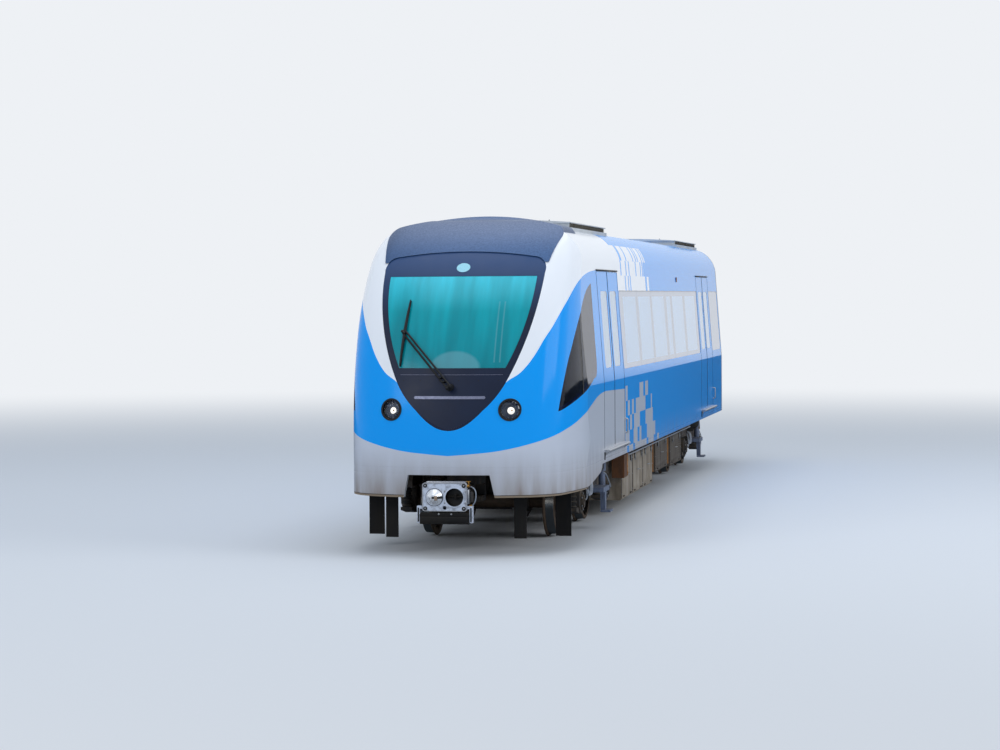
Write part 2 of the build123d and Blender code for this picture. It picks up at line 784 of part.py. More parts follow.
# Cases of one side: first bearer, last bearer, bottom, top, door that has louvres
cases = [(0, 3, 210, 770, 2), (4, 5, 330, 790, 0), (6, 7, 300, 760, 1)]
left_cases = []
for first, last, low, high, vented in cases:
    front = bearers[first] - case_overhang
    rear = bearers[last] + case_overhang
    case = block((case_inner, case_outer), (front, rear), (low, high))
    case = fillet(case.edges().filter_by(Axis.Y), case_round)
    doors = last - first + 1
    for door in range(doors):
        near = front + door * (rear - front) / doors
        far = front + (door + 1) * (rear - front) / doors
        if door:
            case = case - block((case_outer - groove, outside), (near - groove / 2, near + groove / 2), (low + 40, high - 40))
        if door == vented:
            for row in range(slot_count):
                slot_low = high - 90 - row * slot_pitch
                case = case - block((case_outer - slot_depth, outside), (near + 90, far - 90), (slot_low - 14, slot_low))
    case = case - block((case_outer - groove, outside), (front - 1, rear + 1), (high - 40 - groove, high - 40))
    for station in bearers[first:last + 1]:
        strap = block((case_inner + 20, case_outer - 15), (station - strap_half, station + strap_half), (high - 1, body_bottom))
        case = case + strap
    left_cases.append(case)
write("equipment_cases", *[copy for case in left_cases for copy in both_sides(case)])

# Isolator box on its bracket ahead of the first case
isolator_low = 525
isolator_x = (1092, 1256)
isolator_rear = bearers[0] - case_overhang - 12
isolator = block(isolator_x, (isolator_rear - 280, isolator_rear), (isolator_low, body_bottom - 60))
isolator = fillet(isolator.edges().filter_by(Axis.Y), 12)
for place in (isolator_rear - 265, isolator_rear - 45):
    isolator = isolator + block((isolator_x[0] + 10, isolator_x[1] - 6), (place, place + 30), (body_bottom - 61, body_bottom))
write("bracket_boxes", *both_sides(isolator))

# Air tanks with dished ends and the compressor box, hung on the middle line
tank_radius = 170
tank_overhang = 260
dish = 60
tanks = []
for first in (0, 2):
    start = bearers[first] - tank_overhang
    end = bearers[first + 1] + tank_overhang
    tank = cylinder_y(tank_radius, 0, start, end, body_bottom - tank_radius - 60)
    tank = fillet(tank.edges(), dish)
    for station in bearers[first:first + 2]:
        tank = tank + block((-30, 30), (station - strap_half, station + strap_half), (body_bottom - 62, body_bottom))
        band = cylinder_y(tank_radius + 6, 0, station - strap_half, station + strap_half, body_bottom - tank_radius - 60)
        tank = tank + band
    tanks.append(tank)
compressor = block((-420, 420), (bearers[4] - case_overhang, bearers[5] + case_overhang), (420, body_bottom - 70))
compressor = fillet(compressor.edges().filter_by(Axis.Y), 40)
for station in bearers[4:6]:
    compressor = compressor + block((-380, 380), (station - strap_half, station + strap_half), (body_bottom - 71, body_bottom))
tanks.append(compressor)
write("air_tanks", *tanks)

# Guards hung from the nose cross members behind the bumper
guard_x = 737
guard_width = 140
guard_bottom = 180
guard_front = nose_members[0][0] - 20
guard = block((guard_x - guard_width / 2, guard_x + guard_width / 2), (guard_front, guard_front + 25), (guard_bottom, 850))
brace = polygon((guard_front + 20, 520), (guard_front + 25, 520), (nose_members[0][1], 850), (nose_members[0][1], body_bottom),
                (guard_front + 20, body_bottom), (guard_front + 20, 850))
guard = guard + along_x(brace, guard_x - 10, guard_x + 10)
guard = guard + block((guard_x - 50, guard_x + 50), (guard_front + 20, nose_members[0][1]), (body_bottom - 12, body_bottom))
side_guard_x = (1010, 1190)
side_guard_front = nose_members[1][0] + 10
side_guard = block(side_guard_x, (side_guard_front, side_guard_front + 22), (140, body_bottom))
side_brace = polygon((side_guard_front + 20, 430), (side_guard_front + 24, 430), (nose_members[1][1], body_bottom - 20),
                     (nose_members[1][1], body_bottom), (side_guard_front + 20, body_bottom))
side_guard = side_guard + along_x(side_brace, 1090, 1110)
write("rail_guards", *both_sides(guard))
write("side_guards", *both_sides(side_guard))

# Couplers. The front one swings in its pocket, the rear bar in its own.
coupler_z = 684
coupler_pin = 45
jaw_half = 70
jaw_plate = 60
pocket_side = 200


def coupler_pocket(station, direction):
    # anchor box under the draft sill with a vertical pin through the bar's eye
    low = coupler_z - jaw_half - jaw_plate
    y_range = (station - pocket_half, station + pocket_half)
    top = block((-pocket_side, pocket_side), y_range, (coupler_z + jaw_half, body_bottom))
    bottom = block((-pocket_side, pocket_side), y_range, (low, coupler_z - jaw_half))
    back_range = sorted((station + direction * (pocket_half - 30), station + direction * pocket_half))
    back = block((-pocket_side, pocket_side), back_range, (low, coupler_z + jaw_half + 10))
    pin = cylinder_z(coupler_pin, 0, station, low - 25, coupler_z + jaw_half + 10)
    head = cylinder_z(coupler_pin + 20, 0, station, low - 25, low)
    jaws = fillet((top + bottom + back).edges().filter_by(Axis.Z).filter_by_position(Axis.Y, station - direction * pocket_half - 1,
                  station - direction * pocket_half + 1), 60)
    return jaws + pin + head


write("coupler_pockets", coupler_pocket(coupler_pivot, 1), coupler_pocket(drawbar_pivot, -1))
eye_radius = 105
eye_half = 54
shank_radius = 62
pin_gap = 0.3
head_back = -60


def coupler_bar(pivot, end):
    near, far = min(pivot, end), max(pivot, end)
    bar = cylinder_y(shank_radius, 0, near, far, coupler_z)
    bar = bar + cylinder_z(eye_radius, 0, pivot, coupler_z - eye_half, coupler_z + eye_half)
    return bar - cylinder_z(coupler_pin + pin_gap, 0, pivot, coupler_z - 200, coupler_z + 200)


collar_radius = shank_radius + 10
shank = coupler_bar(coupler_pivot, head_back)
for collar in (head_back + 60, head_back + 420):
    shank = shank + cylinder_y(collar_radius, 0, collar, collar + 90, coupler_z)
write("coupler_shank", shank)

head_half = 251
head_low = 528
head_high = 844
face_depth = 40
head_corner = 30
face_front = coupler_face + 90
face_rear = face_front + face_depth
cone_x = 113
cone_radius = 100
cup_depth = 210
cone_tip = 30
bolt_hole = 14
head_face = Pos(0, (head_low + head_high) / 2) * RectangleRounded(2 * head_half, head_high - head_low, head_corner)
head = along_y(head_face, face_front, face_rear)
head = chamfer(head.faces().sort_by(Axis.Y)[0].edges(), 6)
head = head + along_y(offset(head_face, amount=-head_corner), face_rear, head_back)
collar = cylinder_y(cone_radius + 16, cone_x, face_front - 10, face_front + 1, coupler_z)
head = head + collar - cylinder_y(cone_radius, cone_x, coupler_face, coupler_face + cup_depth, coupler_z)
cone_length = face_front - coupler_face + 1
cone_middle = (coupler_face + face_front + 1) / 2
cone = Pos(-cone_x, cone_middle, coupler_z) * Rot(90, 0, 0) * Cone(cone_radius, cone_tip, cone_length)
head = head + cone
head = head - cylinder_y(22, 0, coupler_face, face_rear + 60, head_low + 40)
for side in (-1, 1):
    for level in (head_low + 32, head_high - 32):
        head = head - cylinder_y(bolt_hole, side * (head_half - 34), face_front - 5, face_front + 12, level)
# arms that carry the electric head
arm_x = (head_half + 29, head_half + 61)
arm_low = 400
electric_half = 275
for side in (-1, 1):
    arm_range = sorted((side * arm_x[0], side * arm_x[1]))
    lug_range = sorted((side * (head_half - 1), side * arm_x[1]))
    head = head + block(arm_range, (face_front + 5, face_front + 75), (arm_low, head_low + 60))
    head = head + block(lug_range, (face_front + 5, face_rear - 1), (head_low + 28, head_low + 60))
write("coupler_head", head)
electric_top = 502
electric = block((-electric_half, electric_half), (face_front - 30, head_back - 20), (388, electric_top))
electric = fillet(electric.edges().filter_by(Axis.X), 12)
electric = electric + block((-electric_half + 6, electric_half - 6), (face_front - 36, face_front), (electric_top - 20, electric_top + 12))
for side in (-1, 1):
    stub = sorted((side * (electric_half - 1), side * (arm_x[0] - seat_gap)))
    electric = electric + block(stub, (face_front + 20, face_front + 60), (420, 460))
electric = electric + block((-150, 150), (face_rear + 10, head_back - 40), (electric_top - 10, head_low + head_corner - seat_gap))
write("coupler_electric_head", electric - head)

drawbar_end = body_rear + gangway_length
flange_radius = 140
flange_depth = 30
flange_holes = 8
flange_circle = 110
flange_hole = 13
drawbar = coupler_bar(drawbar_pivot, drawbar_end - flange_depth)
flange = cylinder_y(flange_radius, 0, drawbar_end - flange_depth, drawbar_end, coupler_z)
for index in range(flange_holes):
    angle = 2 * pi * (index + 0.5) / flange_holes
    spot = (flange_circle * cos(angle), coupler_z + flange_circle * sin(angle))
    flange = flange - cylinder_y(flange_hole, spot[0], drawbar_end - 50, drawbar_end + 20, spot[1])
write("drawbar", drawbar + flange)

# Bogies, drawn about their own centre
beam_x = 1000
beam_width = 150
rim = 14
frame_high = 640
frame_low_edge = 440
arm_high = 750
arm_low_edge = 605
neck_round = 110
arm_reach = 330
transom_y = 230
transom_radius = 85
transom_z = 540
box_x = beam_x + 5
box_half = 85
box_radius = 150
cap_radius = 105
spring_seat = 360
spring_radius = 66
spring_place = 238
spring_layers = 4
air_spring_x = 940
air_spring_radius = 265
motor_radius = 190
motor_bell = 160
motor_span = (-380, 200)
motor_z = 470
motor_y = wheelbase / 2 - 480
shoe_gap = 8
shoe_thickness = 45
shoe_range = (716, 806)
brake_x = 762


def beam_profile():
    arm = wheelbase / 2 + arm_reach
    neck_out = wheelbase / 2 - 350
    neck_in = neck_out - 180
    half = [
        (arm, arm_low_edge), (neck_out, arm_low_edge), (neck_in, frame_low_edge),
    ]
    upper = [
        (neck_in + 40, frame_high), (neck_out + 60, arm_high), (arm - 60, arm_high), (arm, arm_high - 70),
    ]
    lower_left = [(-y, z) for y, z in half]
    upper_left = [(-y, z) for y, z in reversed(upper)]
    return polygon(*lower_left, *reversed(half), *reversed(upper), *reversed(upper_left))


def side_beam():
    # box beam: sunk web between the rims of its flanges
    profile = beam_profile()
    flange_body = along_x(profile, beam_x - beam_width / 2, beam_x + beam_width / 2)
    near_neck = wheelbase / 2 - 200
    necks = flange_body.edges().filter_by(Axis.X).filter_by_position(Axis.Y, -near_neck, near_neck)
    flange_body = fillet(necks, neck_round)
    sunk = offset(profile, amount=-rim)
    for side in (-1, 1):
        face_x = beam_x + side * beam_width / 2
        pocket = along_x(sunk, min(face_x, face_x - side * rim), max(face_x, face_x - side * rim))
        flange_body = flange_body - pocket
    return flange_body


def brake_shoe(end):
    # tread brake: bracket off the transom, cylinder, and a curved block facing the wheel
    axle_y = end * wheelbase / 2
    ring = cylinder_x(tread_radius + shoe_gap + shoe_thickness, *shoe_range, axle_y, axle_height)
    ring = ring - cylinder_x(tread_radius + shoe_gap, shoe_range[0] - 1, shoe_range[1] + 1, axle_y, axle_height)
    shoe_y = sorted((0, axle_y - end * (tread_radius - 60)))
    shoe = ring & block(shoe_range, shoe_y, (axle_height - 130, axle_height + 150))
    block_end = axle_y - end * (tread_radius + shoe_gap + shoe_thickness / 2)
    bracket_y = sorted((end * transom_y, end * (transom_y + 150)))
    housing_y = sorted((end * (transom_y + 100), block_end - end * 40))
    stem_y = sorted((end * (transom_y + 100), block_end))
    whole = shoe + block((shoe_range[0] + 5, shoe_range[1] - 5), bracket_y, (transom_z - 90, transom_z + 30))
    whole = whole + cylinder_y(62, brake_x, *housing_y, axle_height + 60)
    return whole + cylinder_y(30, brake_x, *stem_y, axle_height + 60)


def bogie_frame():
    frame = side_beam() + mirror(side_beam(), about=Plane.YZ)
    for side in (-1, 1):
        frame = frame + cylinder_x(transom_radius, -beam_x, beam_x, side * transom_y, transom_z)
    frame = frame + block((-210, 210), (-transom_y, transom_y), (460, 620))
    for end in (-1, 1):
        near, far = sorted((end * transom_y, end * (motor_y - 120)))
        frame = frame + block((-300, -260), (near, far), (500, 600)) + block((80, 120), (near, far), (500, 600))
        for side in (-1, 1):
            frame = frame + (brake_shoe(end) if side > 0 else mirror(brake_shoe(end), about=Plane.YZ))
        frame = frame - cylinder_x(motor_radius + journal_gap, *motor_span, end * motor_y, motor_z)
    return frame - cylinder_z(pivot_radius + journal_gap, 0, 0, 300, 900)


def axle_box(end):
    # round housing with two spring seats and a stepped end cover
    y = end * wheelbase / 2
    housing = cylinder_x(box_radius, box_x - box_half, box_x + box_half, y, axle_height)
    housing = chamfer(housing.edges().filter_by(GeomType.CIRCLE), 8)
    seat_face = polygon(
        (y - spring_place - 75, spring_seat), (y - spring_place - 75, spring_seat - 35), (y - 90, spring_seat - 75),
        (y + 90, spring_seat - 75), (y + spring_place + 75, spring_seat - 35), (y + spring_place + 75, spring_seat),
    )
    housing = housing + along_x(seat_face, box_x - 70, box_x + 70)
    cover = cylinder_x(cap_radius, box_x + box_half - 1, box_x + box_half + 16, y, axle_height)
    cover = cover + cylinder_x(cap_radius - 32, box_x + box_half + 10, box_x + box_half + 34, y, axle_height)
    bore = cylinder_x(journal_radius + journal_gap, box_x - 200, box_x + box_half - 4, y, axle_height)
    return housing + cover - bore


def layered_spring(x, y):
    # rubber and steel rings stacked from the seat to the beam
    rise = (arm_low_edge - spring_seat) / spring_layers
    points = [(0, spring_seat)]
    for layer in range(spring_layers):
        low = spring_seat + layer * rise
        outer = spring_radius - 4 * layer
        points += [(outer, low), (outer, low + 0.3 * rise), (outer - 16, low + 0.45 * rise), (outer - 16, low + 0.85 * rise)]
    points += [(spring_radius - 4 * spring_layers, arm_low_edge), (0, arm_low_edge)]
    face = Plane.XZ * polygon(*points)
    return Pos(x, y, 0) * revolve(face, axis=Axis.Z)


def air_spring():
    # foot, bulging bellows and top plate
    low = frame_high
    high = body_bottom - running_gap
    foot = 50
    plate = 24
    face = outline(
        Line((0, low), (170, low)),
        Line((170, low), (190, low + foot)),
        ThreePointArc((190, low + foot), (air_spring_radius, (low + foot + high - plate) / 2), (200, high - plate)),
        Line((200, high - plate), (air_spring_radius - 10, high - plate)),
        Line((air_spring_radius - 10, high - plate), (air_spring_radius - 10, high)),
        Line((air_spring_radius - 10, high), (0, high)),
        Line((0, high), (0, low)),
    )
    return Pos(air_spring_x, 0, 0) * revolve(Plane.XZ * face, axis=Axis.Z)


def wheelset():
    # half outline in X and radius, turned about the axle
    half = wheel_back + wheel_width
    profile = [
        (0, 0), (0, axle_radius), (wheel_back - 15, axle_radius), (wheel_back - 15, 105), (wheel_back + 30, 130),
        (wheel_back + 45, 330), (wheel_back, 350), (wheel_back, tread_radius + flange_height - 8),
        (wheel_back + 10, tread_radius + flange_height), (wheel_back + 20, tread_radius + flange_height - 4),
        (wheel_back + flange_width, tread_radius + 4), (wheel_back + 60, tread_radius), (half - 5, tread_radius - 4),
        (half, tread_radius - 10), (half, 345), (half - 50, 330), (half - 35, 130), (half + 15, 105),
        (half + 15, journal_radius + 12), (half + 40, journal_radius), (beam_x + box_half - 10, journal_radius),
        (beam_x + box_half - 10, 0),
    ]
    one = revolve(polygon(*profile), axis=Axis.X)
    return Pos(0, 0, axle_height) * (one + mirror(one, about=Plane.YZ))


def drive(end):
    # motor across the bogie with stepped end bells, coupling and a gear case hugging the axle
    y = end * motor_y
    axle_y = end * wheelbase / 2
    bell = 60
    motor = cylinder_x(motor_bell, *motor_span, y, motor_z)
    motor = motor + cylinder_x(motor_radius, motor_span[0] + bell, motor_span[1] - bell, y, motor_z)
    for rib in range(5):
        start = motor_span[0] + bell + 20 + rib * 95
        motor = motor - (cylinder_x(motor_radius + 5, start, start + 12, y, motor_z)
                         - cylinder_x(motor_radius - 10, start - 1, start + 13, y, motor_z))
    case_x = (330, 430)
    case_radius = 190
    pinion_radius = 130
    gear = cylinder_x(case_radius, *case_x, axle_y, axle_height) + cylinder_x(pinion_radius, *case_x, y, motor_z)
    bridge = polygon((axle_y, axle_height + case_radius - 2), (axle_y, axle_height - case_radius + 2),
                     (y, motor_z - pinion_radius + 2), (y, motor_z + pinion_radius - 2))
    gear = gear + along_x(bridge, *case_x)
    gear = gear + cylinder_x(axle_radius + 45, case_x[0] - 30, case_x[1] + 30, axle_y, axle_height)
    gear = gear + cylinder_x(100, motor_span[1] - 1, case_x[0] + 1, y, motor_z)
    return motor + gear - cylinder_x(axle_radius + journal_gap, -900, 900, axle_y, axle_height)


def shoe_gear():
    # insulated beam off the side beam's web, hanger and collector shoe
    web_x = beam_x + beam_width / 2 - rim
    beam = block((web_x, 1240), (-260, 260), (470, 530))
    beam = fillet(beam.edges().filter_by(Axis.X), 10)
    arm = polygon((-70, 471), (70, 471), (45, 240), (-45, 240))
    shoe = fillet(block((1180, 1300), (-130, 130), (215, 241)).edges().filter_by(Axis.X).sort_by(Axis.Z)[:2], 12)
    return beam + along_x(arm, 1170, 1230) + shoe


def damper():
    web_x = beam_x + beam_width / 2 - rim
    y = 350
    lug = block((web_x, web_x + 110), (y - 25, y + 25), (470, 505))
    barrel = cylinder_z(42, web_x + 70, y, 500, 660)
    rod_part = cylinder_z(22, web_x + 70, y, 655, 740)
    cover = cylinder_z(50, web_x + 70, y, 700, 800)
    return lug + barrel + rod_part + cover


one_frame = bogie_frame()
one_wheelset = wheelset()
axle_boxes = [copy for end in (-1, 1) for copy in both_sides(axle_box(end))]
spring_spots = [(end * wheelbase / 2 + way * spring_place) for end in (-1, 1) for way in (-1, 1)]
springs = [copy for spot in spring_spots for copy in both_sides(layered_spring(box_x, spot))]
bogie_parts = [
    ("frame", [one_frame]),
    ("axle_boxes", axle_boxes),
    ("springs", springs),
    ("air_springs", both_sides(air_spring())),
    ("drives", [drive(-1), drive(1)]),
    ("shoes", both_sides(shoe_gear())),
    ("dampers", both_sides(damper())),
]
for name, centre in (("front", bogie_front), ("rear", bogie_rear)):
    here = Location((0, centre, 0))
    for part_name, pieces in bogie_parts:
        write(f"bogie_{name}_{part_name}", *[piece.moved(here) for piece in pieces])
    for number, end in ((1, -1), (2, 1)):
        axle = Location((0, centre + end * wheelbase / 2, 0))
        write(f"wheelset_{name}_{number}", one_wheelset.moved(axle))

print(len(written), "nodes", "middle", car_middle)
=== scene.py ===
import math
from functools import partial
import bpy
from mathutils import Matrix, Vector


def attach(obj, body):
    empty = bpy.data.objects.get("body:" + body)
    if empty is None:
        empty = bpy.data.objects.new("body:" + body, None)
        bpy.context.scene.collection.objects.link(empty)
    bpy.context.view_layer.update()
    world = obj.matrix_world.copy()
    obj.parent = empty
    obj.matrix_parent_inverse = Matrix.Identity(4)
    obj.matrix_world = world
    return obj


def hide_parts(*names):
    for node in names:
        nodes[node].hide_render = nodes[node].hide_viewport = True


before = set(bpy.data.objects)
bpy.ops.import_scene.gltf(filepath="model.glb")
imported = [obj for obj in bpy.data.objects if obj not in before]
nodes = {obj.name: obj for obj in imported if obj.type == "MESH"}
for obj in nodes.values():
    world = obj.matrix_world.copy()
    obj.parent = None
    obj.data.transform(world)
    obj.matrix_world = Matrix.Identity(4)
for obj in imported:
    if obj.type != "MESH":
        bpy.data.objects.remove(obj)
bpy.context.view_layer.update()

scene = bpy.context.scene
noseTip = -8.560  # where the nose tip stands in the car's own frame, metres
print("frame loaded,", len(nodes), "nodes")

# camera: solved from the photo, so its numbers are metres and degrees
cameraSpec = {
    "place": (5.8126, -36.491, 2.8876),
    "yaw": 10.589,      # turned from +Y towards -X
    "pitch": 1.734,     # below level
    "roll": -0.355,
    "lens": 92.56,
    "sensor": 36.0,
    "reach": 500,
}


def addCamera(spec):
    data = bpy.data.cameras.new("viewCamera")
    data.lens = spec["lens"]
    data.sensor_width = spec["sensor"]
    data.clip_end = spec["reach"]
    camera = bpy.data.objects.new("viewCamera", data)
    scene.collection.objects.link(camera)
    placed = Matrix.Translation(spec["place"])
    for angle, axis in ((spec["yaw"], "Z"), (90 - spec["pitch"], "X"), (spec["roll"], "Z")):
        placed = placed @ Matrix.Rotation(math.radians(angle), 4, axis)
    camera.matrix_world = placed
    scene.camera = camera


addCamera(cameraSpec)
scene.view_settings.view_transform = "Standard"


# small helpers for colours and nodes
def tint(code):
    # sRGB hex to linear
    parts = [int(code[i:i + 2], 16) / 255 for i in (0, 2, 4)]
    return tuple(c / 12.92 if c <= 0.04045 else ((c + 0.055) / 1.055) ** 2.4 for c in parts) + (1.0,)


def addNode(tree, kind, inputs=(), **settings):
    # inputs go by place or by name: a value is set, an output or a node's first open output is linked
    node = tree.nodes.new("ShaderNode" + kind)
    for name, value in settings.items():
        setattr(node, name, value)
    for name, source in inputs.items() if isinstance(inputs, dict) else enumerate(inputs):
        if isinstance(source, bpy.types.Node):
            source = next(socket for socket in source.outputs if socket.enabled)
        if isinstance(source, bpy.types.NodeSocket):
            tree.links.new(source, node.inputs[name])
        else:
            node.inputs[name].default_value = source
    return node


def newMaterial(name):
    # what adds nodes to it, and its object coordinates
    material = bpy.data.materials.new(name)
    material.use_nodes = True
    material.node_tree.nodes.clear()
    add = partial(addNode, material.node_tree)
    return add, add("TexCoord").outputs["Object"]


def fillRamp(ramp, stops):
    while len(ramp.elements) < len(stops):
        ramp.elements.new(1.0)
    for element, (place, code) in zip(ramp.elements, stops):
        element.position = place
        element.color = tint(code)


# studio: pale floor, pale surroundings, soft lamps
studio = {
    "backdrop": "eef1f5",
    "floor": "dde0e4",
    "floorInGloss": "5b6570",     # what polished sides mirror of the ground
    "floorReach": 300.0,
    "fadeStart": 9.0,
    "fadeEnd": 46.0,
    "sky": [(0.0, "aab4c0"), (0.10, "f4f7fb"), (0.75, "dcecff")],     # darker ground, palest over the horizon
    "skyLevel": 0.62,
    "lamps": [
        # name, place, aim, width, height, watts
        ("key", (-14, -30, 16), (0, -6, 1.5), 14, 10, 1600),
        ("side", (22, -10, 12), (0, 0, 1.5), 16, 10, 1650),
        ("top", (0, 0, 16), (0, 0, 0), 12, 24, 1050),
    ],
}


def addWorld(spec):
    world = bpy.data.worlds.new("paleStudio")
    scene.world = world
    world.use_nodes = True
    world.node_tree.nodes.clear()
    add = partial(addNode, world.node_tree)
    rays = add("LightPath").outputs
    seen = add("Math", [rays["Is Camera Ray"], rays["Is Transmission Ray"]], operation="MAXIMUM")
    seen = add("Math", [seen, rays["Is Glossy Ray"]], operation="MAXIMUM")
    plain = add("Background", {"Color": tint(spec["backdrop"]), "Strength": 1.0})
    # soft sky that only lights
    height = add("SeparateXYZ", [add("TexCoord").outputs["Generated"]]).outputs["Z"]
    sky = add("ValToRGB", [height])
    fillRamp(sky.color_ramp, spec["sky"])
    soft = add("Background", {"Color": sky, "Strength": spec["skyLevel"]})
    add("OutputWorld", [add("MixShader", [seen, soft, plain])])


def addFloor(spec):
    bpy.ops.mesh.primitive_plane_add(size=spec["floorReach"], location=(0, 0, 0))
    floor = bpy.context.object
    floor.name = "studioFloor"
    # matt floor paint that fades to the backdrop far out
    add, coords = newMaterial("matt_floor_paint")
    away = add("VectorMath", [coords], operation="LENGTH")
    fade = add("MapRange", {"Value": away, "From Min": spec["fadeStart"], "From Max": spec["fadeEnd"]},
               interpolation_type="SMOOTHSTEP")
    rays = add("LightPath").outputs
    tone = add("Mix", {0: rays["Is Glossy Ray"], 6: tint(spec["floor"]), 7: tint(spec["floorInGloss"])},
               data_type="RGBA")
    paint = add("BsdfDiffuse", {"Color": tone})
    glow = add("Emission", {"Color": tint(spec["backdrop"]), "Strength": 1.0})
    far = add("Math", [fade, rays["Is Camera Ray"]], operation="MULTIPLY")
    add("OutputMaterial", [add("MixShader", [far, paint, glow])])
    floor.data.materials.append(bpy.data.materials["matt_floor_paint"])


def addLamps(spec):
    for name, place, aim, width, height, watts in spec["lamps"]:
        data = bpy.data.lights.new(name, "AREA")
        data.shape = "RECTANGLE"
        data.size = width
        data.size_y = height
        data.energy = watts
        lamp = bpy.data.objects.new(name, data)
        scene.collection.objects.link(lamp)
        way = Vector(aim) - Vector(place)
        lamp.matrix_world = Matrix.Translation(place) @ way.to_track_quat("-Z", "Y").to_matrix().to_4x4()


addWorld(studio)
addFloor(studio)
addLamps(studio)
print("studio ready")

# where things stand on the car, metres from the nose tip and above the flange tips
car = {
    "noseJoint": 2.650,
    "doorFronts": (2.796, 13.798),
    "doorWidth": 1.790,
    "doorTop": 3.195,
    "floorTop": 1.040,
    "frameFoot": 0.884,
    "waist": 1.850,
    "halfWidth": 1.350,
    "lean": 0.0729,       # metres in for each metre up, above the waist
    "ribbonLow": 1.963,
    "ribbonHigh": 2.964,
    "bogies": (3.690, 14.690),
    "axleHeight": 0.423,
    "couplerHeight": 0.684,
    "coneOff": 0.113,     # cone and cup, each side of the middle
    "treadMiddle": 0.742,
    "treadHalf": 0.069,
}
ribbonMiddle = (car["ribbonLow"] + car["ribbonHigh"]) / 2
ribbonHalf = (car["ribbonHigh"] - car["ribbonLow"]) / 2


def at(x, station, z):
    return Vector((x, station + noseTip, z))


def skin(z):
    # half width of the body at a height
    return car["halfWidth"] - max(0.0, z - car["waist"]) * car["lean"]


# livery: white pillars and roof front, azure sides, silver skirt, bars that thin out along the side
livery = {
    "white": "eff3f9",
    "blue": "009cf6",
    "silver": "c2c9d6",
    "mask": "18223a",
    # dust brown, also used as painted shade low down
    "dust": "7a6a5a",
    "lip": "857767",
    # painted shade of a groove at the foot of the bumper
    "grooveShade": "26241f",
    "sealant": "62676f",
    "lining": "b9bdc2",
    # borders: distance round the nose (x plus station) and height, metres
    "whiteEdge": [(0.0, 1.90), (0.80, 1.935), (0.86, 1.964), (1.02, 2.034), (1.14, 2.110), (1.26, 2.201),
                  (1.37, 2.293), (1.51, 2.412), (1.69, 2.540), (1.90, 2.689), (2.15, 2.839), (2.48, 2.992),
                  (2.75, 3.081), (3.24, 3.158), (3.77, 3.196), (4.03, 3.203)],
    "silverEdge": [(0.0, 1.130), (0.24, 1.148), (0.53, 1.173), (0.82, 1.214), (1.07, 1.259), (1.37, 1.314),
                   (1.70, 1.375), (2.15, 1.445), (2.70, 1.550), (3.20, 1.640), (3.62, 1.705), (4.19, 1.741)],
    # foot of the dark mask: distance from the middle and height
    "maskFoot": [(0.0, 1.404), (0.105, 1.422), (0.204, 1.472), (0.300, 1.548), (0.395, 1.646), (0.489, 1.765),
                 (0.560, 1.862), (0.632, 1.962)],
    "maskHalf": 0.634,
    "maskDepth": 0.42,
    "edgeReach": 4.4,
    "edgeHeight": 4.0,
    "barsFrom": 4.62,
    "barsTop": 1.741,
    "barsEnd": 6.80,            # station where the lowest row turns plain blue
    "barsSlope": -0.35,
    "topRowShare": 0.60,
    "lowRowShare": 0.36,
    "streaksFrom": 6.90,
    "streaksTo": 8.20,
    "streakShare": 0.14,
    "barWidth": 0.196,
    "barHeight": 0.194,
    "plainBlue": (2.35, 0.609),     # middle and half height of the band behind the windows
    "shoulder": 3.546,
    "lipTop": 0.684,
    "grooveShadeMiddle": 0.687,
    "dustShadeTop": 1.22,
    "dustShadeFoot": 0.66,
    "dustShadeCurve": 1.3,
    "dustShadeStrength": 1.65,
}


def edgeCurve(add, source, points):
    # a drawn line of the livery: distance round the nose in, height out
    reach, tall = livery["edgeReach"], livery["edgeHeight"]
    line = add("FloatCurve", {"Value": add("Math", [source, reach], operation="DIVIDE")})
    curve = line.mapping.curves[0]
    scaled = [(x / reach, z / tall) for x, z in points]
    curve.points[0].location = scaled[0]
    curve.points[1].location = (1.0, scaled[-1][1])
    for x, z in scaled[1:]:
        curve.points.new(x, z)
    line.mapping.update()
    return add("Math", [line, tall], operation="MULTIPLY")


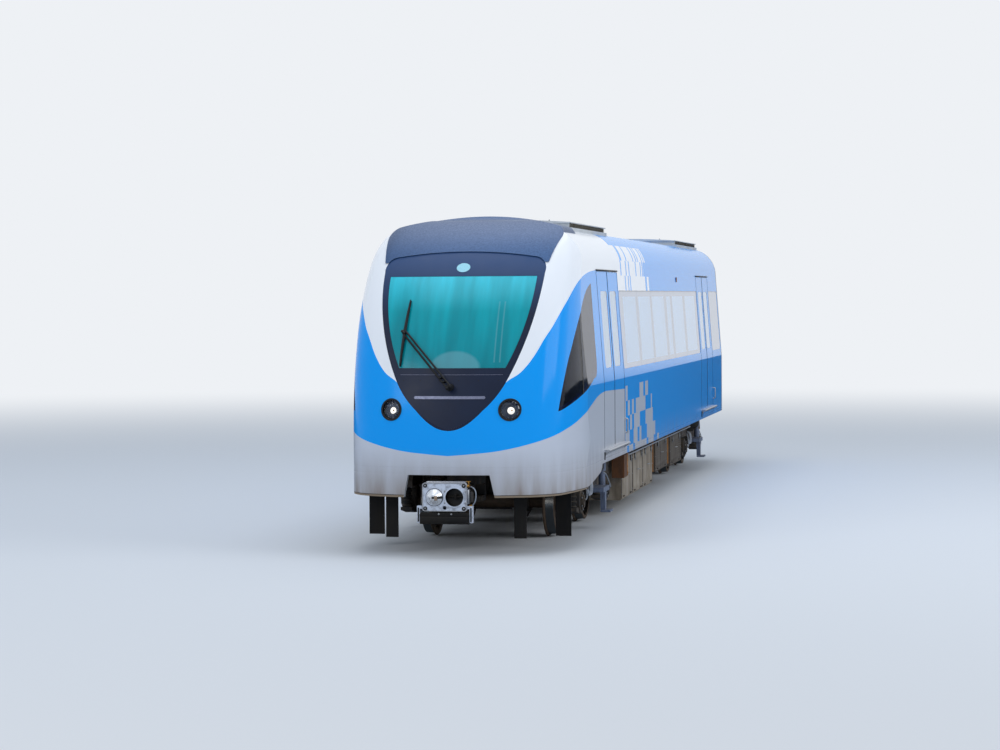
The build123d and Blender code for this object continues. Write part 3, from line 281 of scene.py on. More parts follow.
def makeLivery():
    # two-pack coach enamel: deep colour, clean sheen, faint orange peel, and a brown film low down that is road
    # dust and painted shade
    add, coords = newMaterial("lacquered_coach_enamel")
    x, y, height = add("SeparateXYZ", [coords]).outputs
    station = add("Math", [y, noseTip], operation="SUBTRACT")
    side = add("Math", [x], operation="ABSOLUTE")
    girth = add("Math", [side, station], operation="ADD")
    blue, white, silver = (tint(livery[name]) for name in ("blue", "white", "silver"))

    isWhite = add("Math", [height, edgeCurve(add, girth, livery["whiteEdge"])], operation="GREATER_THAN")
    isSilver = add("Math", [height, edgeCurve(add, girth, livery["silverEdge"])], operation="LESS_THAN")
    front = add("Mix", {0: isWhite, 6: blue, 7: white}, data_type="RGBA")
    front = add("Mix", {0: isSilver, 6: front, 7: silver}, data_type="RGBA")

    # bars: cells one bar wide and one row high, shifted from row to row, blue gaining upwards and to the rear
    isHigh = add("Math", [height, car["ribbonHigh"]], operation="GREATER_THAN")
    rowZero = add("MapRange", {"Value": isHigh, "To Min": livery["barsTop"],
                               "To Max": car["ribbonHigh"] - 10 * livery["barHeight"]})
    row = add("Math", [height, rowZero], operation="SUBTRACT")
    row = add("Math", [row, livery["barHeight"]], operation="DIVIDE")
    row = add("Math", [row], operation="FLOOR")
    slip = add("TexWhiteNoise", {"W": row}, noise_dimensions="1D")
    width = add("MapRange", {"Value": isHigh, "To Min": livery["barWidth"], "To Max": livery["barWidth"] / 2})
    column = add("Math", [station, width], operation="DIVIDE")
    column = add("Math", [column, slip], operation="ADD")
    column = add("Math", [column], operation="FLOOR")
    chance = add("TexWhiteNoise", {"Vector": add("CombineXYZ", [column, row, 7.0])}, noise_dimensions="3D")
    # blue share: most in the top row, and all blue behind a line that slopes down to the rear
    byRow = add("MapRange", {"Value": row, "From Min": -1.0, "From Max": -2.0, "To Min": livery["topRowShare"],
                             "To Max": livery["lowRowShare"]})
    reach = add("Math", [livery["barsEnd"], station], operation="SUBTRACT")
    reach = add("Math", [row, livery["barsSlope"], reach], operation="MULTIPLY_ADD")
    behind = add("MapRange", {"Value": reach, "From Min": 0.90, "From Max": 0.0})
    lowShare = add("Math", [byRow, behind], operation="MAXIMUM")
    # above the windows: white with three rows of thin blue streaks, then plain blue
    highShare = add("MapRange", {"Value": station, "From Min": livery["streaksFrom"],
                                 "From Max": livery["streaksTo"], "To Min": livery["streakShare"], "To Max": 1.02})
    share = add("Mix", {0: isHigh, 2: lowShare, 3: highShare}, data_type="FLOAT")
    isBlue = add("Math", [chance, share], operation="LESS_THAN")
    overShoulder = add("Math", [height, livery["shoulder"]], operation="GREATER_THAN")
    isBlue = add("Math", [isBlue, overShoulder], operation="MAXIMUM")
    behindGlass = add("Math", [height, *livery["plainBlue"]], operation="COMPARE")
    isBlue = add("Math", [isBlue, behindGlass], operation="MAXIMUM")
    ground = add("Mix", {0: isHigh, 6: silver, 7: white}, data_type="RGBA")
    rear = add("Mix", {0: isBlue, 6: ground, 7: blue}, data_type="RGBA")
    isRear = add("Math", [station, livery["barsFrom"]], operation="GREATER_THAN")
    paint = add("Mix", {0: isRear, 6: front, 7: rear}, data_type="RGBA")

    # the mask's rounded foot is painted on round the fitted panel
    overFoot = add("Math", [height, edgeCurve(add, side, livery["maskFoot"])], operation="GREATER_THAN")
    inFoot = add("Math", [side, livery["maskHalf"]], operation="LESS_THAN")
    inFoot = add("Math", [inFoot, overFoot], operation="MULTIPLY")
    nearTip = add("Math", [station, livery["maskDepth"]], operation="LESS_THAN")
    inFoot = add("Math", [inFoot, nearTip], operation="MULTIPLY")

    # dust and painted shade: thin brown film that thickens towards the rail, drawn down in runs, for road dust and
    # for the shade of the lower edge curving under
    runs = add("Mapping", {"Vector": coords, "Scale": (5.0, 5.0, 0.7)})
    smear = add("TexNoise", {"Vector": runs, "Scale": 1.6, "Detail": 3.0})
    lowDustAndShade = add("MapRange", {"Value": height, "From Min": livery["dustShadeTop"], "From Max": livery["dustShadeFoot"],
                             "To Min": 0.02, "To Max": 0.80})
    lowDustAndShade = add("Math", [lowDustAndShade, livery["dustShadeCurve"]], operation="POWER")
    film = add("Math", [smear, lowDustAndShade], operation="MULTIPLY")
    film = add("Math", [film, livery["dustShadeStrength"]], operation="MULTIPLY", use_clamp=True)

    # brown lip band at the foot of the bumper, under a thin dark line of painted shade for a groove
    onLip = add("Math", [height, livery["lipTop"]], operation="LESS_THAN")
    inGrooveShade = add("Math", [height, livery["grooveShadeMiddle"], 0.003], operation="COMPARE")

    # lining on the inside, grey sealant in the glazing rebates
    facing = add("SeparateXYZ", [add("NewGeometry").outputs["True Normal"]]).outputs
    toMiddle = add("Math", [car["noseJoint"], station], operation="SUBTRACT")
    toMiddle = add("Math", [toMiddle, 0.0], operation="MAXIMUM")
    inX = add("Math", [x, facing["X"]], operation="MULTIPLY")
    inY = add("Math", [toMiddle, facing["Y"]], operation="MULTIPLY")
    outward = add("Math", [inX, inY], operation="SUBTRACT")
    up = add("Math", [facing["Z"], 1.2], operation="MULTIPLY")
    outward = add("Math", [outward, up], operation="ADD")
    isLining = add("Math", [outward, -0.15], operation="LESS_THAN")
    above = add("Math", [height, car["waist"]], operation="SUBTRACT")
    above = add("Math", [above, 0.0], operation="MAXIMUM")
    skinAt = add("Math", [above, -car["lean"], car["halfWidth"] - 0.006], operation="MULTIPLY_ADD")
    isSunk = add("Math", [side, skinAt], operation="LESS_THAN")
    inRibbon = add("Math", [height, ribbonMiddle, ribbonHalf + 0.002], operation="COMPARE")
    isSealed = add("Math", [isSunk, inRibbon], operation="MULTIPLY")
    behindNose = add("Math", [station, car["noseJoint"]], operation="GREATER_THAN")
    isSealed = add("Math", [isSealed, behindNose], operation="MULTIPLY")

    for where, name in ((inFoot, "mask"), (film, "dust"), (onLip, "lip"), (inGrooveShade, "grooveShade"),
                        (isSealed, "sealant"), (isLining, "lining")):
        paint = add("Mix", {0: where, 6: paint, 7: tint(livery[name])}, data_type="RGBA")

    # orange peel of about 4 mm, drawn faint
    peel = add("TexNoise", {"Vector": coords, "Scale": 240.0, "Detail": 2.0})
    bump = add("Bump", {"Height": peel, "Strength": 0.02, "Distance": 0.0004})
    haze = add("MapRange", {"Value": lowDustAndShade, "From Min": 0.0, "From Max": 0.9, "To Min": 0.14, "To Max": 0.50})
    dull = add("Math", [haze, add("Math", [isLining, 0.6], operation="MULTIPLY")], operation="MAXIMUM")
    add("OutputMaterial", [add("BsdfPrincipled", {"Base Color": paint, "Roughness": dull, "Normal": bump,
                                                  "IOR": 1.45, "Specular IOR Level": 0.18})])


finishes = {
    # name: base, second tone, blotch size m, roughness, metallic, coat, relief m, dust on ledges, specular level
    "black_guard_enamel_and_shade": ("141416", "1f1d1b", 0.12, 0.60, 0.0, 0.0, 0.0003, 0.3, 0.20),  # black, darkened further as painted shade of the shadow under the car, thin road film
    "metallic_greyblue_lacquer": ("35547f", "2e4b73", 0.02, 0.36, 0.65, 0.0, 0.0, 0.05, 0.30),  # fine flake
    "matt_dark_panel_paint": ("151f36", "19243c", 0.30, 0.38, 0.0, 0.0, 0.0001, 0.0, 0.20),  # near black blue, dull
    "dusty_steel_paint": ("36373a", "574c41", 0.22, 0.72, 0.0, 0.0, 0.0006, 0.5, 0.5),  # dark under brake dust
    "dusty_case_enamel": ("948b7e", "6f6456", 0.18, 0.62, 0.0, 0.0, 0.0004, 0.4, 0.5),  # beige grey, rust stained
    "red_oxide_primer": ("4a2f1d", "6e4626", 0.10, 0.72, 0.0, 0.0, 0.0006, 0.3, 0.5),  # brown with ochre bloom
    "sand_cast_iron": ("343436", "4d4338", 0.09, 0.78, 0.2, 0.0, 0.0010, 0.4, 0.5),  # pitted, rusty hollows
    "blue_grey_damper_paint": ("66738e", "50586a", 0.05, 0.50, 0.0, 0.1, 0.0002, 0.3, 0.5),  # greyed blue, scuffed
    "brushed_aluminium": ("c9ccd2", "a9adb4", 0.01, 0.34, 1.0, 0.0, 0.0002, 0.1, 0.5),  # long soft glints
    "anodised_grey_strip": ("7d829a", "6b7088", 0.02, 0.40, 0.6, 0.0, 0.0001, 0.0, 0.5),  # dull lilac grey metal
    "polished_steel_tube": ("d5d7da", "c9cbce", 0.05, 0.14, 1.0, 0.0, 0.0, 0.0, 0.5),  # mirror bright, handled
    "moulded_seat_shell": ("1f5a9c", "1c5291", 0.02, 0.45, 0.0, 0.0, 0.0002, 0.0, 0.5),  # blue glass-fibre
    "grained_desk_moulding": ("5b5e63", "54575c", 0.01, 0.60, 0.0, 0.0, 0.0004, 0.0, 0.5),  # grained grey plastic
    "white_ceiling_laminate": ("d9dcdf", "d2d5d8", 0.40, 0.50, 0.0, 0.0, 0.0, 0.0, 0.5),  # flat off-white sheet
    "black_trim_plastic": ("0e1013", "1b1d21", 0.03, 0.42, 0.0, 0.0, 0.0001, 0.0, 0.25),  # satin edge light
    "folded_bellows_rubber": ("1f2023", "302e2a", 0.12, 0.75, 0.0, 0.0, 0.0006, 0.4, 0.25),  # dull, dusty folds
    "roof_unit_enamel": ("bcc3ca", "b0b3b5", 0.50, 0.50, 0.0, 0.1, 0.0002, 0.4, 0.5),  # pale grey, sooty patches
    "weathered_louvre_metal": ("8a877f", "6c655b", 0.08, 0.60, 0.3, 0.0, 0.0003, 0.3, 0.5),  # dull tan-grey fins
    "end_wall_enamel": ("a4aab4", "85837e", 0.40, 0.50, 0.0, 0.2, 0.0, 0.3, 0.5),  # silver grey, travel dirt
    "ochre_bracket_paint": ("a5713a", "7c5227", 0.07, 0.60, 0.0, 0.0, 0.0004, 0.2, 0.5),  # ochre, chipped to brown
    "headlamp_bowl_paint": ("2c3a50", "243044", 0.05, 0.30, 0.30, 0.0, 0.0, 0.0, 0.5),  # navy, soft metal sheen
    "pale_case_paint": ("8fa3bf", "6f7f96", 0.12, 0.50, 0.0, 0.1, 0.0002, 0.3, 0.5),  # bluish grey box paint
    "brass_fitting": ("b58a4a", "8f6a34", 0.03, 0.35, 1.0, 0.0, 0.0001, 0.1, 0.5),  # warm metal, tarnished
    "zinc_plated_steel": ("aeb2b8", "8c8f94", 0.02, 0.38, 0.9, 0.0, 0.0002, 0.2, 0.5),  # grey-white fasteners
    "grey_pipe_enamel": ("8f99a8", "737a86", 0.06, 0.45, 0.0, 0.1, 0.0002, 0.2, 0.5),  # blue-grey pipework
    "black_rubber_seal": ("0f1216", "1a1d22", 0.04, 0.60, 0.0, 0.0, 0.0002, 0.1, 0.20),  # dead black, dusty edge
}
fades = {
    # name: axis, start and end along it, share and colour at the end
    "matt_dark_panel_paint": ("Z", 2.70, 3.30, 1.0, "2c4874"),  # lighter blue towards its top, a painted reflection of the sky
    "dusty_case_enamel": ("Y", noseTip + 8.80, noseTip + 9.00, 0.80, "332c27"),  # darker brown on the cases past the first group
}


def makeFinish(name):
    # two tones of one coat in soft blotches, fine grain to the touch, dust where a face looks up
    base, second, blotch, rough, metallic, coat, relief, dust, specular = finishes[name]
    add, coords = newMaterial(name)
    drawn = add("Mapping", {"Vector": coords, "Scale": (1.0, 1.0, 0.35 if dust else 1.0)})
    patch = add("TexNoise", {"Vector": drawn, "Scale": 1.0 / blotch, "Detail": 7.0, "Roughness": 0.62})
    ramp = add("MapRange", {"Value": patch, "From Min": 0.38, "From Max": 0.66})
    colour = add("Mix", {0: ramp, 6: tint(base), 7: tint(second)}, data_type="RGBA")
    if name in fades:
        axis, start, end, share, code = fades[name]
        along = add("SeparateXYZ", [coords]).outputs[axis]
        along = add("MapRange", {"Value": along, "From Min": start, "From Max": end, "To Max": share})
        colour = add("Mix", {0: along, 6: colour, 7: tint(code)}, data_type="RGBA")
    if dust:
        up = add("SeparateXYZ", [add("NewGeometry").outputs["True Normal"]]).outputs["Z"]
        settle = add("MapRange", {"Value": up, "From Min": 0.2, "From Max": 0.95, "To Max": dust})
        settle = add("Math", [settle, patch], operation="MULTIPLY")
        colour = add("Mix", {0: settle, 6: colour, 7: tint("8a7c6a")}, data_type="RGBA")
    rougher = add("MapRange", {"Value": ramp, "To Min": rough, "To Max": min(1.0, rough + 0.14)})
    sockets = {"Base Color": colour, "Roughness": rougher, "Metallic": metallic, "Coat Weight": coat,
               "Coat Roughness": 0.08, "Specular IOR Level": specular}
    if relief:
        grain = add("TexNoise", {"Vector": coords, "Scale": 260.0, "Detail": 3.0})
        sockets["Normal"] = add("Bump", {"Height": grain, "Strength": 0.5, "Distance": relief})
    add("OutputMaterial", [add("BsdfPrincipled", sockets)])


glazing = {
    # clear panes between the printed bands: front and rear station
    "panes": [(4.986, 6.236), (6.516, 7.747), (7.997, 9.347), (9.667, 10.107), (10.397, 11.738),
              (12.048, 13.378)],
    "low": 2.028,
    "high": 2.885,
    "band": "a4abbd",
    "clear": "bcdcff",
    # painted shadow under the gasket, and its height
    "gasketShadow": "4c5566",
    "gasketShadowHeight": 0.016,
}


def makeSideGlass(spec):
    # solar-control double glazing: silvery sky sheen over a dark saloon, grey printed bands on the joints
    add, coords = newMaterial("reflective_side_glazing")
    place = add("SeparateXYZ", [coords]).outputs
    height = place["Z"]
    station = add("Math", [place["Y"], noseTip], operation="SUBTRACT")
    inPane = None
    for front, rear in spec["panes"]:
        one = add("Math", [station, (front + rear) / 2, (rear - front) / 2], operation="COMPARE")
        inPane = add("Math", [inPane, one], operation="ADD") if inPane else one
    middle, half = (spec["low"] + spec["high"]) / 2, (spec["high"] - spec["low"]) / 2
    tall = add("Math", [height, middle, half], operation="COMPARE")
    isClear = add("Math", [inPane, tall], operation="MULTIPLY")
    colour = add("Mix", {0: isClear, 6: tint(spec["band"]), 7: tint(spec["clear"])}, data_type="RGBA")
    # painted shadow of the gasket: a thin dark line along the head of the ribbon
    head = add("Math", [height, car["ribbonHigh"] - spec["gasketShadowHeight"]], operation="GREATER_THAN")
    colour = add("Mix", {0: head, 6: colour, 7: tint(spec["gasketShadow"])}, data_type="RGBA")
    film = add("TexNoise", {"Vector": coords, "Scale": 3.0, "Detail": 5.0})
    rough = add("MapRange", {"Value": film, "From Min": 0.3, "From Max": 0.8, "To Min": 0.02, "To Max": 0.10})
    mirror = add("MapRange", {"Value": isClear, "To Min": 0.25, "To Max": 0.70})
    add("OutputMaterial", [add("BsdfPrincipled", {"Base Color": colour, "Metallic": mirror, "Roughness": rough,
                                                  "Transmission Weight": isClear, "IOR": 1.6})])


def makePlainGlass(name, colour, ior, mirror=0.0, sheen="ffffff"):
    # float glass with a wiped dirt film: sharp sheen, slight haze in patches
    add, coords = newMaterial(name)
    film = add("TexNoise", {"Vector": coords, "Scale": 5.0, "Detail": 5.0})
    rough = add("MapRange", {"Value": film, "From Min": 0.3, "From Max": 0.8, "To Min": 0.01, "To Max": 0.08})
    add("OutputMaterial", [add("BsdfPrincipled", {"Base Color": tint(colour), "Roughness": rough, "IOR": ior,
                                                  "Metallic": mirror, "Specular Tint": tint(sheen),
                                                  "Transmission Weight": 1.0})])


screen = {
    "low": 2.08,
    "high": 3.13,
    # teal up the glass, a painted reflection of the sky
    "film": [(0.0, "00909e"), (0.62, "00a6b4"), (1.0, "3ad4ea")],
    "through": 0.16,
    "deskReflection": (0.04, 2.09, 0.29, 0.20),       # painted reflection of the desk: middle, foot, half width, height
    "paleLines": (0.478, 0.540),                # two thin pale lines
    "paleLinesBand": (2.50, 0.34),              # their middle height and half length
    "pale": "8fc4d0",
}


def makeWindscreen(spec):
    # laminated screen with a teal sun film; its colour carries a painted sky reflection: deep below, pale at the
    # head, soft upright streaks
    add, coords = newMaterial("teal_laminated_screen")
    place = add("SeparateXYZ", [coords]).outputs
    height = place["Z"]
    # painted reflection of the sky: deep teal low down, pale at the head
    rise = add("MapRange", {"Value": height, "From Min": spec["low"], "From Max": spec["high"]})
    shade = add("ValToRGB", [rise])
    fillRamp(shade.color_ramp, spec["film"])
    # soft upright streaks, painted reflection in the sky tone
    streaks = add("Mapping", {"Vector": coords, "Scale": (4.0, 0.6, 0.35)})
    soft = add("TexNoise", {"Vector": streaks, "Scale": 1.8, "Detail": 3.0})
    lift = add("MapRange", {"Value": soft, "From Min": 0.35, "From Max": 0.7, "To Min": 0.86, "To Max": 1.16})
    toned = add("VectorMath", {0: shade, "Scale": lift}, operation="SCALE")
    # pale patch low in the middle, a painted reflection of the desk
    x, foot, half, tall = spec["deskReflection"]
    deskReflection = add("Mapping", {"Vector": coords, "Location": (-x / half, 0, -foot / tall),
                           "Scale": (1 / half, 0, 1 / tall)})
    deskReflection = add("VectorMath", [deskReflection], operation="LENGTH")
    pale = add("MapRange", {"Value": deskReflection, "From Min": 1.04, "From Max": 0.90, "To Max": 0.34})
    inPaleLinesBand = add("Math", [height, *spec["paleLinesBand"]], operation="COMPARE")
    for middle in spec["paleLines"]:
        line = add("Math", [place["X"], middle], operation="SUBTRACT")
        line = add("Math", [line], operation="ABSOLUTE")
        line = add("MapRange", {"Value": line, "From Min": 0.012, "From Max": 0.002, "To Max": 0.26})
        line = add("Math", [line, inPaleLinesBand], operation="MULTIPLY")
        pale = add("Math", [pale, line], operation="MAXIMUM")
    toned = add("Mix", {0: pale, 6: toned, 7: tint(spec["pale"])}, data_type="RGBA")
    dirt = add("TexNoise", {"Vector": coords, "Scale": 9.0, "Detail": 6.0})
    rough = add("MapRange", {"Value": dirt, "From Min": 0.3, "From Max": 0.8, "To Min": 0.16, "To Max": 0.26})
    add("OutputMaterial", [add("BsdfPrincipled", {"Base Color": toned, "Roughness": rough, "IOR": 1.45,
                                                  "Specular IOR Level": 0.22,
                                                  "Transmission Weight": spec["through"]})])


def makeSteelWheel():
    # rolled wheel steel: bright worn tread, dusty brown web
    add, coords = newMaterial("rolled_wheel_steel")
    rust = add("TexNoise", {"Vector": coords, "Scale": 14.0, "Detail": 6.0})
    web = add("Mix", {0: rust, 6: tint("40362f"), 7: tint("63513f")}, data_type="RGBA")
    side = add("Math", [add("SeparateXYZ", [coords]).outputs["X"]], operation="ABSOLUTE")
    facing = add("SeparateXYZ", [add("NewGeometry").outputs["True Normal"]]).outputs["X"]
    isRound = add("Math", [add("Math", [facing], operation="ABSOLUTE"), 0.35], operation="LESS_THAN")
    onRim = add("Math", [side, car["treadMiddle"], car["treadHalf"]], operation="COMPARE")
    isTread = add("Math", [isRound, onRim], operation="MULTIPLY")
    colour = add("Mix", {0: isTread, 6: web, 7: tint("b9b6b0")}, data_type="RGBA")
    rough = add("MapRange", {"Value": isTread, "To Min": 0.68, "To Max": 0.24})
    metal = add("MapRange", {"Value": isTread, "To Min": 0.3, "To Max": 1.0})
    add("OutputMaterial", [add("BsdfPrincipled", {"Base Color": colour, "Roughness": rough, "Metallic": metal})])


def makeLitPanel(name, colour, strength):
    # opal acrylic lit from behind through a fine woven diffuser
    add, coords = newMaterial(name)
    weave = add("TexVoronoi", {"Vector": coords, "Scale": 160.0})
    tone = add("MapRange", {"Value": weave, "To Min": 0.75, "To Max": 1.1})
    shade = add("VectorMath", {0: tint(colour)[:3], "Scale": tone}, operation="SCALE")
    add("OutputMaterial", [add("BsdfPrincipled", {"Base Color": shade, "Emission Color": shade, "Roughness": 0.25,
                                                  "Emission Strength": strength})])


def makeFloorAndFrame():
    # welded steel underframe below, speckled grey vinyl on top
    add, coords = newMaterial("vinyl_floor_on_steel_frame")
    height = add("SeparateXYZ", [coords]).outputs["Z"]
    isFloor = add("Math", [height, car["floorTop"] - 0.002], operation="GREATER_THAN")
    grains = add("VectorMath", [coords, (0.003, 0.003, 1.0)], operation="SNAP")
    speck = add("TexWhiteNoise", {"Vector": grains}, noise_dimensions="3D")
    vinyl = add("Mix", {0: speck, 6: tint("6c7680"), 7: tint("8a949c")}, data_type="RGBA")
    grime = add("TexNoise", {"Vector": coords, "Scale": 4.0, "Detail": 7.0})
    steel = add("Mix", {0: grime, 6: tint("2f2f32"), 7: tint("4c443b")}, data_type="RGBA")
    colour = add("Mix", {0: isFloor, 6: steel, 7: vinyl}, data_type="RGBA")
    rough = add("MapRange", {"Value": isFloor, "To Min": 0.75, "To Max": 0.45})
    add("OutputMaterial", [add("BsdfPrincipled", {"Base Color": colour, "Roughness": rough})])


couplerPaint = {
    "cup": 0.1005,          # radii of what is painted on the face; the cup black and a ring round the cone's foot dark, both painted shade
    "cone": 0.0995,
    "foot": (0.0965, 0.0035),
    # slot across the cone painted black as its shade, its worn tongue, dark cores of the side arms:
    # x, half width, height, half height, colour
    "marks": [("slot", -0.074, 0.053, 0.684, 0.013, "060607"), ("tongue", -0.083, 0.015, 0.678, 0.027, "8d7a68"),
              ("arms", 0.296, 0.009, 0.490, 0.078, "1d1f24")],
}


def makeCouplerEnamel(spec):
    # pale grey enamel, rubbed bright on the cone; the cup black and a dark ring round the cone's foot as painted
    # shade
    add, coords = newMaterial("coupler_grey_enamel")
    place = add("SeparateXYZ", [coords]).outputs
    reach = []
    for middle in (car["coneOff"], -car["coneOff"]):
        away = add("VectorMath", [coords, (middle, -0.18 + noseTip, car["couplerHeight"])], operation="SUBTRACT")
        away = add("VectorMath", [away, (1.0, 0.0, 1.0)], operation="MULTIPLY")
        reach.append(add("VectorMath", [away], operation="LENGTH"))
    cupShade = add("Math", [reach[0], spec["cup"]], operation="LESS_THAN")
    onCone = add("Math", [reach[1], spec["cone"]], operation="LESS_THAN")
    foot = add("Math", [reach[1], *spec["foot"]], operation="COMPARE")
    wear = add("TexNoise", {"Vector": coords, "Scale": 22.0, "Detail": 7.0})
    worn = add("MapRange", {"Value": wear, "From Min": 0.45, "From Max": 0.68})
    colour = add("Mix", {0: worn, 6: tint("c6cfdf"), 7: tint("949aa6")}, data_type="RGBA")
    # cup black and the ring round the cone's foot dark: painted shade
    for where, code in ((onCone, "e4e8ee"), (cupShade, "08090b"), (foot, "3c4048")):
        colour = add("Mix", {0: where, 6: colour, 7: tint(code)}, data_type="RGBA")
    across = add("Math", [place["X"]], operation="ABSOLUTE")
    hidden = None
    for name, middle, half, level, tall, code in spec["marks"]:
        wide = add("Math", [across if name == "arms" else place["X"], middle, half], operation="COMPARE")
        high = add("Math", [place["Z"], level, tall], operation="COMPARE")
        spot = add("Math", [wide, high], operation="MULTIPLY")
        colour = add("Mix", {0: spot, 6: colour, 7: tint(code)}, data_type="RGBA")
        hidden = add("Math", [hidden, spot], operation="MAXIMUM") if hidden else spot
    bright = add("Math", [onCone, hidden], operation="SUBTRACT", use_clamp=True)
    rough = add("MapRange", {"Value": worn, "To Min": 0.35, "To Max": 0.6})
    pitted = add("Math", [onCone, -0.38, 0.4], operation="MULTIPLY_ADD")
    bump = add("Bump", {"Height": wear, "Strength": pitted, "Distance": 0.0005})
    rubbed = add("Math", [bright, 0.55], operation="MULTIPLY")
    smooth = add("Math", [bright, -0.10, rough], operation="MULTIPLY_ADD")
    add("OutputMaterial", [add("BsdfPrincipled", {"Base Color": colour, "Roughness": smooth, "Normal": bump,
                                                  "Metallic": rubbed, "Coat Weight": 0.2})])


for finish in finishes:
    makeFinish(finish)
makeLivery()
makeSideGlass(glazing)
makePlainGlass("reflective_door_glazing", "c4e0fb", 1.7, 0.60)
makePlainGlass("smoked_quarter_glass", "5a6482", 1.16, 0.0, "c2cdea")
makePlainGlass("clear_lamp_polycarbonate", "eef3f8", 1.25)
makeWindscreen(screen)
makeSteelWheel()
makeLitPanel("opal_marker_panel", "8fd0e4", 0.10)
makeLitPanel("amber_lamp_acrylic", "7a3a1c", 0.02)
makeLitPanel("lit_lamp_lens", "fff6e8", 1.0)
makeLitPanel("ceiling_lamp_diffuser", "f4f8ff", 1.2)
makeFloorAndFrame()
makeCouplerEnamel(couplerPaint)

nodeFinish = {
    "lacquered_coach_enamel": "side_wall_left side_wall_right roof_shell nose_shell door_leaves nose_bumper",
    "metallic_greyblue_lacquer": "visor_hood",
    "matt_dark_panel_paint": "front_mask front_hatch",
    "teal_laminated_screen": "windscreen",
    "reflective_side_glazing": "side_windows",
    "reflective_door_glazing": "door_windows",
    "smoked_quarter_glass": "quarter_windows",
    "black_trim_plastic": "quarter_bars wiper gangway_bars",
    "clear_lamp_polycarbonate": "headlamp_lenses",
    "opal_marker_panel": "oval_lamp",
    "anodised_grey_strip": "nose_strip",
    "brushed_aluminium": "door_sills gangway_frame",
    "amber_lamp_acrylic": "side_lamps",
    "end_wall_enamel": "rear_end_wall",
    "folded_bellows_rubber": "headlamp_bezels gangway_bellows bogie_front_springs bogie_rear_springs "
                             "bogie_front_air_springs bogie_rear_air_springs",
    "roof_unit_enamel": "roof_units",
    "weathered_louvre_metal": "roof_grilles",
    "moulded_seat_shell": "seat_benches",
    "polished_steel_tube": "grab_poles",
    "grained_desk_moulding": "front_console",
    "white_ceiling_laminate": "ceiling_panels",
    "vinyl_floor_on_steel_frame": "underframe",
    "dusty_case_enamel": "equipment_cases",
    "red_oxide_primer": "bracket_boxes",
    "black_guard_enamel_and_shade": "rail_guards side_guards coupler_electric_head",
    "dusty_steel_paint": "air_tanks bogie_front_frame bogie_rear_frame bogie_front_drives bogie_rear_drives",
    "sand_cast_iron": "coupler_pockets coupler_shank drawbar bogie_front_axle_boxes bogie_rear_axle_boxes",
    "coupler_grey_enamel": "coupler_head",
    "blue_grey_damper_paint": "bogie_front_dampers bogie_rear_dampers bogie_front_shoes bogie_rear_shoes",
    "rolled_wheel_steel": "wheelset_front_1 wheelset_front_2 wheelset_rear_1 wheelset_rear_2",
}
for finish, names in nodeFinish.items():
    for name in names.split():
        for place in nodes[name].material_slots:
            place.material = bpy.data.materials[finish]
print("materials on all CAD nodes")

smoothAngle = math.radians(35)      # edges sharper than this stay sharp
weldReach = 0.00002                 # how far apart doubled corners of a CAD mesh may lie
otherSide = Matrix.Scale(-1, 4, (1, 0, 0))


def onNode(node, place, way):
    # spot and normal where a line from place along way first meets a CAD node
    return nodes[node].ray_cast(Vector(place), Vector(way))[1:3]


def route(*points):
    return [at(*point) for point in points]


# ways of starting, shaping and closing a piece
def startPiece(add, name, **size):
    # one primitive at its real size and place, with all else deselected
    bpy.ops.object.select_all(action="DESELECT")
    add(**size)
    piece = bpy.context.active_object
    piece.name = name
    piece.data.name = name
    bpy.ops.object.transform_apply(location=True, rotation=True, scale=True)
    return piece


def pickOnly(piece):
    bpy.ops.object.select_all(action="DESELECT")
    piece.select_set(True)
    bpy.context.view_layer.objects.active = piece


def openFaces(piece, chosen):
    # into edit mode with the chosen faces picked; on a bare primitive the other corners stay selected too
    for face in piece.data.polygons:
        face.select = chosen(face)
    pickOnly(piece)
    bpy.ops.object.mode_set(mode="EDIT")
    bpy.ops.mesh.select_mode(type="FACE")


def easeEdges(piece, width, segments=2):
    pickOnly(piece)
    bpy.ops.object.mode_set(mode="EDIT")
    bpy.ops.mesh.select_all(action="SELECT")
    bpy.ops.mesh.bevel(offset=width, segments=segments, affect="EDGES")
    bpy.ops.object.mode_set(mode="OBJECT")


def addSlab(name, low, high, edge=0.0):
    size = [b - a for a, b in zip(low, high)]
    middle = [(a + b) / 2 for a, b in zip(low, high)]
    piece = startPiece(bpy.ops.mesh.primitive_cube_add, name, size=1, location=middle, scale=size)
    if edge:
        easeEdges(piece, edge)
    return piece


def addRod(name, start, end, radius, sides=16, edge=0.0):
    way = Vector(end) - Vector(start)
    piece = startPiece(bpy.ops.mesh.primitive_cylinder_add, name, vertices=sides, radius=radius, depth=way.length,
                       location=(Vector(start) + Vector(end)) / 2,
                       rotation=way.to_track_quat("Z", "Y").to_euler())
    if edge:
        easeEdges(piece, edge)
    return piece


def addPipe(name, points, radius, swell=None):
    # bent pipe on a smooth path, made a mesh; swell gives its share of the radius at each point
    bpy.ops.object.select_all(action="DESELECT")
    bpy.ops.curve.primitive_nurbs_path_add()
    piece = bpy.context.active_object
    piece.name = name
    spline = piece.data.splines[0]
    while len(spline.points) < len(points):
        spline.points.add(1)
    if len(spline.points) > len(points):
        piece.data.splines.remove(spline)
        spline = piece.data.splines.new("NURBS")
        spline.points.add(len(points) - 1)
    for point, place in zip(spline.points, points):
        point.co = (*place, 1.0)
    for point, share in zip(spline.points, swell or []):
        point.radius = share
    spline.order_u = 3
    spline.use_endpoint_u = True
    piece.data.dimensions = "3D"
    piece.data.bevel_depth = radius
    piece.data.bevel_resolution = 3
    piece.data.resolution_u = 8
    piece.data.use_fill_caps = True
    bpy.ops.object.convert(target="MESH")
    piece = bpy.context.active_object
    bpy.ops.object.transform_apply(location=True, rotation=True, scale=True)
    return piece


